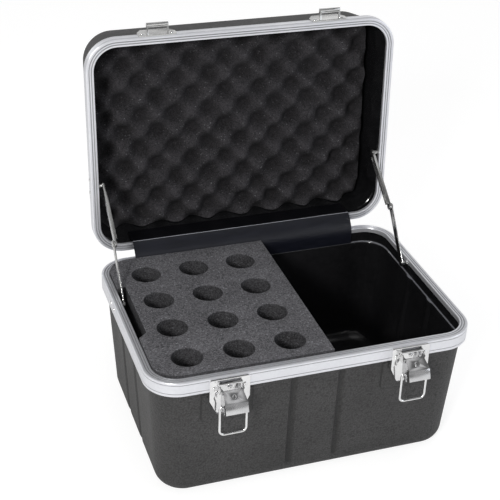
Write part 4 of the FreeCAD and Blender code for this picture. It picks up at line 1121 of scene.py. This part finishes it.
crate = piece("egg_crate_cut", egg_crate(), ["lid_egg_crate_foam"], (), "lid")
print("egg-crate faces:", len(crate.data.polygons))

# %% [markdown]
# ## The strip over the hinge line
# A strip of vinyl hides the gap between the rims. It is fixed inside the lid and inside the back
# wall above the ledge, and bulges a little where it is free. It is short and held stretched, so a
# formula with fixed ripples does instead of a simulation. It crosses the hinge and is made in place,
# with no body to move with.

# %% Hinge strip
def rounded_path(corners, radii, spacing):
    """Points along straight runs whose corners are rounded by quadratic bends, at an even spacing."""
    points = [np.array(corners[0])]
    for before, at, after, radius in zip(corners, corners[1:], corners[2:], radii):
        at = np.array(at)
        first = at + (np.array(before) - at) * radius / np.linalg.norm(np.array(before) - at)
        last = at + (np.array(after) - at) * radius / np.linalg.norm(np.array(after) - at)
        points += [(1 - t) ** 2 * first + 2 * t * (1 - t) * at + t * t * last for t in np.linspace(0, 1, 9)]
    points.append(np.array(corners[-1]))
    points = np.array(points)
    run = np.concatenate([[0], np.cumsum(np.linalg.norm(np.diff(points, axis=0), axis=1))])
    even = np.linspace(0, run[-1], int(run[-1] / spacing) + 1)
    return np.column_stack([np.interp(even, run, points[:, k]) for k in range(2)]), run[-1]


cover_half = 152 * mm
cover_thick = 0.9 * mm
cover_top_y, cover_fold_y = 177.6 * mm, 148.5 * mm
inner_y = half_depth - face_width - cover_thick
lid_face = hinge_point.z + 5.2 * mm + face_width + cover_thick
cover_corners = [(cover_top_y, lid_face), (cover_fold_y, lid_face), (inner_y, rim_z + 0.6 * mm),
                 (inner_y, rim_z - 20.6 * mm)]
cover_path, cover_length = rounded_path(cover_corners, (2.2 * mm, 9 * mm), 1.0 * mm)
print("strip:", round(2 * cover_half, 3), "by", round(float(cover_length), 4), "m")

# %% Shape the strip
def strip_mesh():
    """The path drawn out across the case, lifted where it is free, and given its thickness."""
    across = np.linspace(-cover_half, cover_half, 141)
    share = np.linspace(0, 1, len(cover_path))
    tangent = np.gradient(cover_path, axis=0)
    tangent /= np.linalg.norm(tangent, axis=1)[:, None]
    side = np.column_stack([tangent[:, 1], -tangent[:, 0]])
    side *= -np.sign(side[len(side) // 2, 0])
    free = np.exp(-((share - 0.5) / 0.17) ** 2)
    rng = np.random.default_rng(7)
    waves = [(rng.uniform(12, 60), rng.uniform(2, 9), rng.uniform(0, 6.28), rng.uniform(0.5, 1))
             for _ in range(9)]
    points = []
    for x in across:
        ripple = sum(a * np.sin(kx * x + ks * share + p) for kx, ks, p, a in waves) / 9
        lift = free * (1.6 + 1.1 * ripple) * mm + 0.12 * mm * (1 + ripple)
        for (y, z), (ny, nz), up in zip(cover_path, side, lift):
            points.append((x, y + ny * up, z + nz * up))
    rows = len(cover_path)
    faces = [(i * rows + j, (i + 1) * rows + j, (i + 1) * rows + j + 1, i * rows + j + 1)
             for i in range(len(across) - 1) for j in range(rows - 1)]
    flat = mesh_from("hinge_strip", points, faces)
    carry(flat, "run", np.tile(share * cover_length / mm, len(across)))
    host = hosted("strip_host", flat)
    thick = host.modifiers.new("thickness", "SOLIDIFY")
    thick.thickness = cover_thick
    thick.offset = 0
    return smooth(recalculated(baked(host)), 60)


strip = piece("hinge_strip_vinyl", strip_mesh(), ["hinge_cover"], (vinyl,))
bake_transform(strip)
print("strip faces:", len(strip.data.polygons))

# %% [markdown]
# ## Pressed and bent metal
# The latches, hinges and stays are already right in the frame, down to their holes. What a render
# misses is the small radius that every pressed edge has. We copy such a node's mesh, weld its loose
# triangles, and let a narrow bevel round the sharp edges, so that they catch the light. A lock's
# keyway is a slit that no light reaches, so the faces inside it get the dark plastic.

# %% Rounded copies of frame nodes
def softened(node, edge, finish, name, face_angle=38.0):
    """Copy of a frame node with welded points and rounded edges, in its place."""
    made = bmesh.new()
    made.from_mesh(frame["nodes"][node].data)
    bmesh.ops.remove_doubles(made, verts=made.verts, dist=0.002 * mm)
    bmesh.ops.dissolve_limit(made, angle_limit=math.radians(0.5), verts=made.verts, edges=made.edges)
    bmesh.ops.recalc_face_normals(made, faces=made.faces)
    mesh = bpy.data.meshes.new(name)
    made.to_mesh(mesh)
    made.free()
    host = hosted("host_" + name, mesh)
    bevel = host.modifiers.new("edges", "BEVEL")
    bevel.width = edge
    bevel.segments = 2
    bevel.limit_method = "ANGLE"
    bevel.angle_limit = math.radians(face_angle)
    bevel.harden_normals = False
    result = baked(host)
    result.materials.clear()
    return piece(name, smooth(result, 50), [node], (finish,), body_of_node[node])


def blacken_keyway(plug, joint_name):
    """Gives the faces sunk into a plug's front the dark plastic, as painted shade."""
    joint = next(joint for joint in frame["joints"] if joint["name"] == joint_name)
    axis = Vector(joint["axis"]).normalized()
    if axis.y > 0:
        axis = -axis
    centre = Vector(joint["pos_m"])
    mesh = plug.data
    along = [(vert.co - centre).dot(axis) for vert in mesh.vertices]
    radius = max((vert.co - centre - axis * far).length for vert, far in zip(mesh.vertices, along))
    mesh.materials.append(grip_plastic)
    back, front = min(along) + 0.1 * mm, max(along) - 0.1 * mm
    sunk = 0
    for face in mesh.polygons:
        off = face.center - centre
        far = off.dot(axis)
        if back < far < front and (off - axis * far).length < radius * 0.85:
            face.material_index = 1
            sunk += 1
    print(plug.name, "has", sunk, "sunk faces")


# node without its side, edge radius in mm, finish, slot and the ending of the piece's name
pressed_nodes = (
    ("latch_plate_", 0.35, chrome, "latch_chrome", "_polished"),
    ("latch_lever_", 0.3, lever_steel, "latch_chrome", "_polished"),
    # Painted shade: the lid catches take the darker stay steel for the shade under their hooks.
    ("lid_catch_", 0.3, stay_steel, "latch_chrome", "_polished"),
    ("handle_bracket_", 0.4, chrome, "latch_chrome", "_polished"),
    ("handle_arm_", 0.5, chrome, "latch_chrome", "_polished"),
    ("lock_plug_", 0.12, lever_steel, "latch_chrome", "_turned"),
    ("stay_base_bracket_", 0.2, stay_steel, "stay_steel", "_plated"),
    ("stay_lid_bracket_", 0.2, stay_steel, "stay_steel", "_plated"),
    ("stay_lower_arm_", 0.25, stay_steel, "stay_steel", "_plated"),
    ("stay_upper_arm_", 0.25, stay_steel, "stay_steel", "_plated"),
    ("hinge_base_leaf_", 0.25, hinge_steel, "hinge_steel", "_plated"),
    ("hinge_lid_leaf_", 0.25, hinge_steel, "hinge_steel", "_plated"),
)
pressed = {}
for side in ("left", "right"):
    for node, edge, finish, slot, ending in pressed_nodes:
        pressed[node + side] = softened(node + side, edge * mm, finish, node + side + ending)
    blacken_keyway(pressed["lock_plug_" + side], "lock_turn_" + side)
print("softened pieces:", len(pressed))

# %% [markdown]
# ## Bails from a bent wire
# A bail is one length of round wire with four bends. Its path needs only six points: Geometry Nodes
# fillet the corners, each by its own radius, and sweep a circle along the line.

# %% The wire tree
def make_wire():
    """Rounds a chain's corners by the radius stored on its points, and sweeps a circle along it."""
    tree = bpy.data.node_groups.new("bent_wire", "GeometryNodeTree")
    start, end = sockets(tree, [("Line", GEOMETRY, None), ("Wire Radius", FLOAT, 0.0015),
                                ("Finish", "NodeSocketMaterial", None)], [("Result", GEOMETRY)])
    path = add(tree, "GeometryNodeMeshToCurve", {"Mesh": start.outputs["Line"]})
    bend = add(tree, "GeometryNodeInputNamedAttribute", {"Name": "bend"}, data_type="FLOAT")
    filleted = add(tree, "GeometryNodeFilletCurve", {"Curve": path.outputs[0], "Count": 10,
                                                     "Radius": bend.outputs[0]}, mode="POLY")
    section = add(tree, "GeometryNodeCurvePrimitiveCircle", {"Resolution": 20,
                                                             "Radius": start.outputs["Wire Radius"]})
    swept = add(tree, "GeometryNodeCurveToMesh", {"Curve": filleted.outputs[0],
                                                  "Profile Curve": section.outputs[0], "Fill Caps": True})
    return close_tree(tree, swept.outputs[0], start.outputs["Finish"], end)


wire_tree = make_wire()
wire_radius = 1.5 * mm


def bail(side):
    """Wire bail in the box of its frame node, hanging."""
    low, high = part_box("latch_bail_" + side)
    left, right = low.x + wire_radius, high.x - wire_radius
    top, bottom, y = high.z - wire_radius, low.z + wire_radius, (low.y + high.y) / 2
    stub, turn_radius, corner = 5.2 * mm, 2.4 * mm, 6 * mm
    corners = [(left + stub, top), (left, top), (left, bottom), (right, bottom), (right, top),
               (right - stub, top)]
    mesh = bpy.data.meshes.new("bail_line")
    mesh.from_pydata([(x, y, z) for x, z in corners], [(k, k + 1) for k in range(5)], [])
    carry(mesh, "bend", [0, turn_radius, corner, corner, turn_radius, 0])
    host = hosted("bail_host", mesh)
    with_nodes(host, wire_tree, Wire_Radius=wire_radius, Finish=chrome)
    made = smooth(recalculated(baked(host)), 50)
    return piece("latch_bail_" + side + "_wire", made, ["latch_bail_" + side], (),
                 body_of_node["latch_bail_" + side])


bails = [bail(side) for side in ("left", "right")]
print("bails:", [len(b.data.polygons) for b in bails], "faces")

# %% [markdown]
# ## Rivets
# Every rivet in the frame is a plain set head. Real ones are low domes with a small dimple from the
# setting tool. One tree places a head on each of a node's rivets: the host mesh has one point for each
# rivet, with its direction stored beside it.

# %% The rivet tree
rivet_radius, rivet_height = 3 * mm, 1.05 * mm


def rivet_head():
    """Low dome with a flat rim and a dimple, standing on the origin along Z."""
    profile = [(1.0, 0.0), (1.0, 0.28), (0.93, 0.45), (0.8, 0.68), (0.62, 0.88), (0.42, 0.98), (0.3, 1.0),
               (0.24, 0.9), (0.12, 0.72)]
    sides = 24
    points = [(x, y, rivet_height * z) for r, z in profile
              for x, y in circle((0, 0), rivet_radius * r, sides)]
    faces = [(row * sides + k, row * sides + (k + 1) % sides, (row + 1) * sides + (k + 1) % sides,
              (row + 1) * sides + k) for row in range(len(profile) - 1) for k in range(sides)]
    faces.append(tuple(reversed(range(sides))))
    faces.append(tuple(range((len(profile) - 1) * sides, len(profile) * sides)))
    return hosted("rivet_head", smooth(mesh_from("rivet_head", points, faces), 60))


def make_rivets():
    """Places one head on each point of the host, turned to the direction stored there."""
    tree = bpy.data.node_groups.new("set_rivets", "GeometryNodeTree")
    start, end = sockets(tree, [("Points", GEOMETRY, None), ("Head", "NodeSocketObject", None),
                                ("Finish", "NodeSocketMaterial", None)], [("Result", GEOMETRY)])
    aim = add(tree, "GeometryNodeInputNamedAttribute", {"Name": "aim"}, data_type="FLOAT_VECTOR")
    turn = add(tree, "FunctionNodeAlignRotationToVector", {"Vector": aim.outputs[0]}, axis="Z")
    head = add(tree, "GeometryNodeObjectInfo", {"Object": start.outputs["Head"]})
    placed = add(tree, "GeometryNodeInstanceOnPoints",
                 {"Points": start.outputs["Points"], "Instance": head.outputs["Geometry"],
                  "Rotation": turn.outputs[0]})
    return close_tree(tree, placed.outputs[0], start.outputs["Finish"], end)


def islands(node):
    """Lists of points, one for each separate solid of a frame node."""
    made = bmesh.new()
    made.from_mesh(frame["nodes"][node].data)
    bmesh.ops.remove_doubles(made, verts=made.verts, dist=0.002 * mm)
    left, found = set(made.verts), []
    while left:
        grown = [left.pop()]
        for vert in grown:
            for edge in vert.link_edges:
                other = edge.other_vert(vert)
                if other in left:
                    left.remove(other)
                    grown.append(other)
        found.append(np.array([v.co[:] for v in grown]))
    made.free()
    return found


rivet_tree = make_rivets()
print("rivet tree:", len(rivet_tree.nodes), "nodes")

# %% Set the rivets
def head_place(points):
    """Foot and direction of a set head, from its points: the wide ring is the foot."""
    middle = points.mean(axis=0)
    axes = np.linalg.svd(points - middle, full_matrices=False)[2]
    normal = axes[2]
    along = (points - middle) @ normal
    flat = points - middle - np.outer(along, normal)
    wide = np.linalg.norm(flat, axis=1) > 0.9 * rivet_radius
    if along[wide].mean() > 0:
        normal, along = -normal, -along
    return middle + normal * along.min(), normal


def rivets(node, body):
    """Set heads in place of all rivets of a frame node."""
    places = [head_place(points) for points in islands(node)]
    mesh = mesh_from("rivet_points", [foot for foot, _ in places], [])
    aims = mesh.attributes.new("aim", "FLOAT_VECTOR", "POINT")
    aims.data.foreach_set("vector", np.array([normal for _, normal in places], np.float32).ravel())
    host = hosted("rivet_host", mesh)
    with_nodes(host, rivet_tree, Head=head_model, Finish=chrome)
    made = smooth(baked(host), 60)
    print(node, "has", len(places), "rivets")
    return piece(node + "_set", made, [node], (), body)


head_model = rivet_head()
for node in ("base_rivets", "lid_rivets"):
    rivets(node, body_of_node[node])
bpy.data.objects.remove(head_model)
print("rivets set")

# %% [markdown]
# ## The handle's grip
# The grip is turned about its own length: thicker in the middle, with shallow finger rings near the
# ends. A loft of circles along X does it, and the frame's box gives the place.

# %% Turn the grip
def grip_mesh():
    """Loft of circles along X, where t runs from -1 at one end to 1 at the other."""
    ends_from, slims_from, rings_from = 0.965, 0.55, 0.72
    low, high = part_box("handle_grip")
    centre = (low + high) / 2
    half = (high.x - low.x) / 2
    thick = (high.y - low.y) / 2
    rings = []
    for step in range(61):
        t = -1 + 2 * step / 60
        end_round = math.sqrt(max(0.0, 1 - max(0.0, (abs(t) - ends_from) / (1 - ends_from)) ** 2))
        swell = 1 - 0.28 * max(0.0, (abs(t) - slims_from) / (1 - slims_from)) ** 2
        ring = 0.03 * math.cos(t * half / (3.2 * mm) * math.pi) ** 8 if abs(t) > rings_from else 0.0
        radius = thick * (swell - ring) * (0.86 + 0.14 * end_round)
        angles = np.linspace(0, 2 * math.pi, 40, endpoint=False)
        rings.append(np.column_stack([np.full(40, centre.x + t * half), centre.y + radius * np.cos(angles),
                                      centre.z + radius * np.sin(angles)]))
    return smooth(recalculated(loft("grip", rings)), 50)


piece("handle_grip_turned", grip_mesh(), ["handle_grip"], (grip_plastic,),
      body_of_node["handle_grip"])
print("grip turned")

# %% [markdown]
# ## What stays as it is
# Pins and rivet shanks are plain turned metal, already exact in the frame. They only need a finish.

# %% Finish the remaining nodes
kept = {"lever_pin": chrome, "hinge_pin": hinge_steel, "stay_rivet": stay_steel}
for name, node in frame["nodes"].items():
    if node.hide_render:
        continue
    finish = next((finish for key, finish in kept.items() if name.startswith(key)), chrome)
    node.data.materials.clear()
    node.data.materials.append(finish)
    print("kept:", name, "in", finish.name)

# %% [markdown]
# ## Floor, light and camera
# The case stands on a pale floor in soft, even light. The background is white where the camera or
# clear glass sees it. Reflections see another one: uneven, weaker in front, with a dark band high up,
# because chrome shows its surroundings and a studio isn't white all round. Everything else is lit by
# an even grey. The highest lamp is hidden from reflections, where it would burn the chrome white. The
# floor glows for the camera only, so that it comes out white and still carries a shadow.

# %% Floor and background
def make_floor():
    """Wide pale square just under the case."""
    size = 4.0
    mesh = mesh_from("floor", [(-size, -size, 0), (size, -size, 0), (size, size, 0), (-size, size, 0)],
                     [(0, 1, 2, 3)])
    floor = hosted("floor", mesh)
    floor.location.z = -0.2 * mm
    material, tree, shader, place = begin("pale_floor", Roughness=0.9, Specular_IOR_Level=0.1)
    blotch = effect(tree, uneven, place, 2.0)["Mask"]
    seen = tree.nodes.new("ShaderNodeLightPath").outputs["Is Camera Ray"]
    pale = tone(tree, blotch, (0.90, 0.90, 0.90), (0.93, 0.93, 0.93))
    put(tree, shader, Base_Color=darkened(tree, pale, seen, 0.68))
    shader.inputs["Emission Color"].default_value = (1, 1, 1, 1)
    tree.links.new(calc(tree, "MULTIPLY", seen, 0.8), shader.inputs["Emission Strength"])
    mesh.materials.append(material)


def make_world(band_height=0.8, band_reach=0.14, grey=0.42):
    """White for the camera, banded and patchy for reflections, an even grey for all other light."""
    world = bpy.data.worlds.new("soft_white")
    scene.world = world
    world.use_nodes = True
    tree = world.node_tree
    back = tree.nodes["Background"]
    path = tree.nodes.new("ShaderNodeLightPath")
    place = tree.nodes.new("ShaderNodeTexCoord").outputs["Generated"]
    direction = add(tree, "ShaderNodeSeparateXYZ", {0: place}).outputs
    front = ranged(tree, calc(tree, "MULTIPLY", direction["Y"], -1.0), 0.0, 0.7, 1.0, 0.45)
    from_band = calc(tree, "DIVIDE", calc(tree, "SUBTRACT", direction["Z"], band_height), band_reach)
    away = calc(tree, "ADD", calc(tree, "POWER", from_band, 4.0), 1.0)
    band = calc(tree, "SUBTRACT", 0.9, calc(tree, "DIVIDE", 0.65, away))
    patchy = ranged(tree, noise(tree, place, 2.6, 1.0)["Fac"], 0.4, 0.58, 0.55, 1.1)
    mirrored = calc(tree, "MULTIPLY", patchy, calc(tree, "MULTIPLY", front, band))
    seen = calc(tree, "MAXIMUM", path.outputs["Is Camera Ray"], path.outputs["Is Transmission Ray"])
    glossy = calc(tree, "MULTIPLY", path.outputs["Is Glossy Ray"], mirrored)
    direct = calc(tree, "MAXIMUM", seen, path.outputs["Is Glossy Ray"])
    lit = calc(tree, "MULTIPLY", calc(tree, "SUBTRACT", 1.0, direct), grey)
    back.inputs["Color"].default_value = (1, 1, 1, 1)
    tree.links.new(calc(tree, "ADD", calc(tree, "MAXIMUM", seen, glossy), lit), back.inputs["Strength"])


make_floor()
make_world()
print("floor and background ready")

# %% Lamps
def lamp(name, place, aim, size, power, colour=(1, 1, 1), mirrored=True):
    """Area lamp that looks at a point."""
    data = bpy.data.lights.new(name, "AREA")
    data.shape = "RECTANGLE"
    data.size, data.size_y = size
    data.energy = power
    data.color = colour
    made = hosted(name, data)
    made.visible_glossy = mirrored
    made.location = place
    made.rotation_euler = (Vector(aim) - Vector(place)).to_track_quat("-Z", "Y").to_euler()
    return made


target = (0, 0.05, 0.2)
lamp("key", (-1.5, -1.9, 1.5), target, (0.45, 0.45), 46, (1.0, 0.99, 0.97))
lamp("fill", (1.9, -1.4, 0.9), target, (1.2, 1.2), 10, (0.88, 0.93, 1.0))
lamp("top", (0.1, 0.1, 2.4), target, (1.6, 1.2), 14, mirrored=False)

# %% Camera
camera_place = Vector((-460.27, -1178.77, 974.16)) * mm
yaw, pitch, roll = 0.341, -0.526, 0.035
focal_pixels, frame_pixels = 1197.6, 500
forward = Vector((math.sin(yaw) * math.cos(pitch), math.cos(yaw) * math.cos(pitch), math.sin(pitch)))
level_right = Vector((math.cos(yaw), -math.sin(yaw), 0))
level_up = level_right.cross(forward)
right = math.cos(roll) * level_right + math.sin(roll) * level_up
up = -math.sin(roll) * level_right + math.cos(roll) * level_up
lens = bpy.data.cameras.new("camera")
lens.sensor_width = 36.0
lens.lens = lens.sensor_width * focal_pixels / frame_pixels
camera = hosted("camera", lens)
turn = Matrix((right, up, -forward)).transposed()
camera.matrix_world = Matrix.Translation(camera_place) @ turn.to_4x4()
scene.camera = camera
scene.view_settings.view_transform = "Standard"
print("lens:", round(lens.lens, 1), "mm")
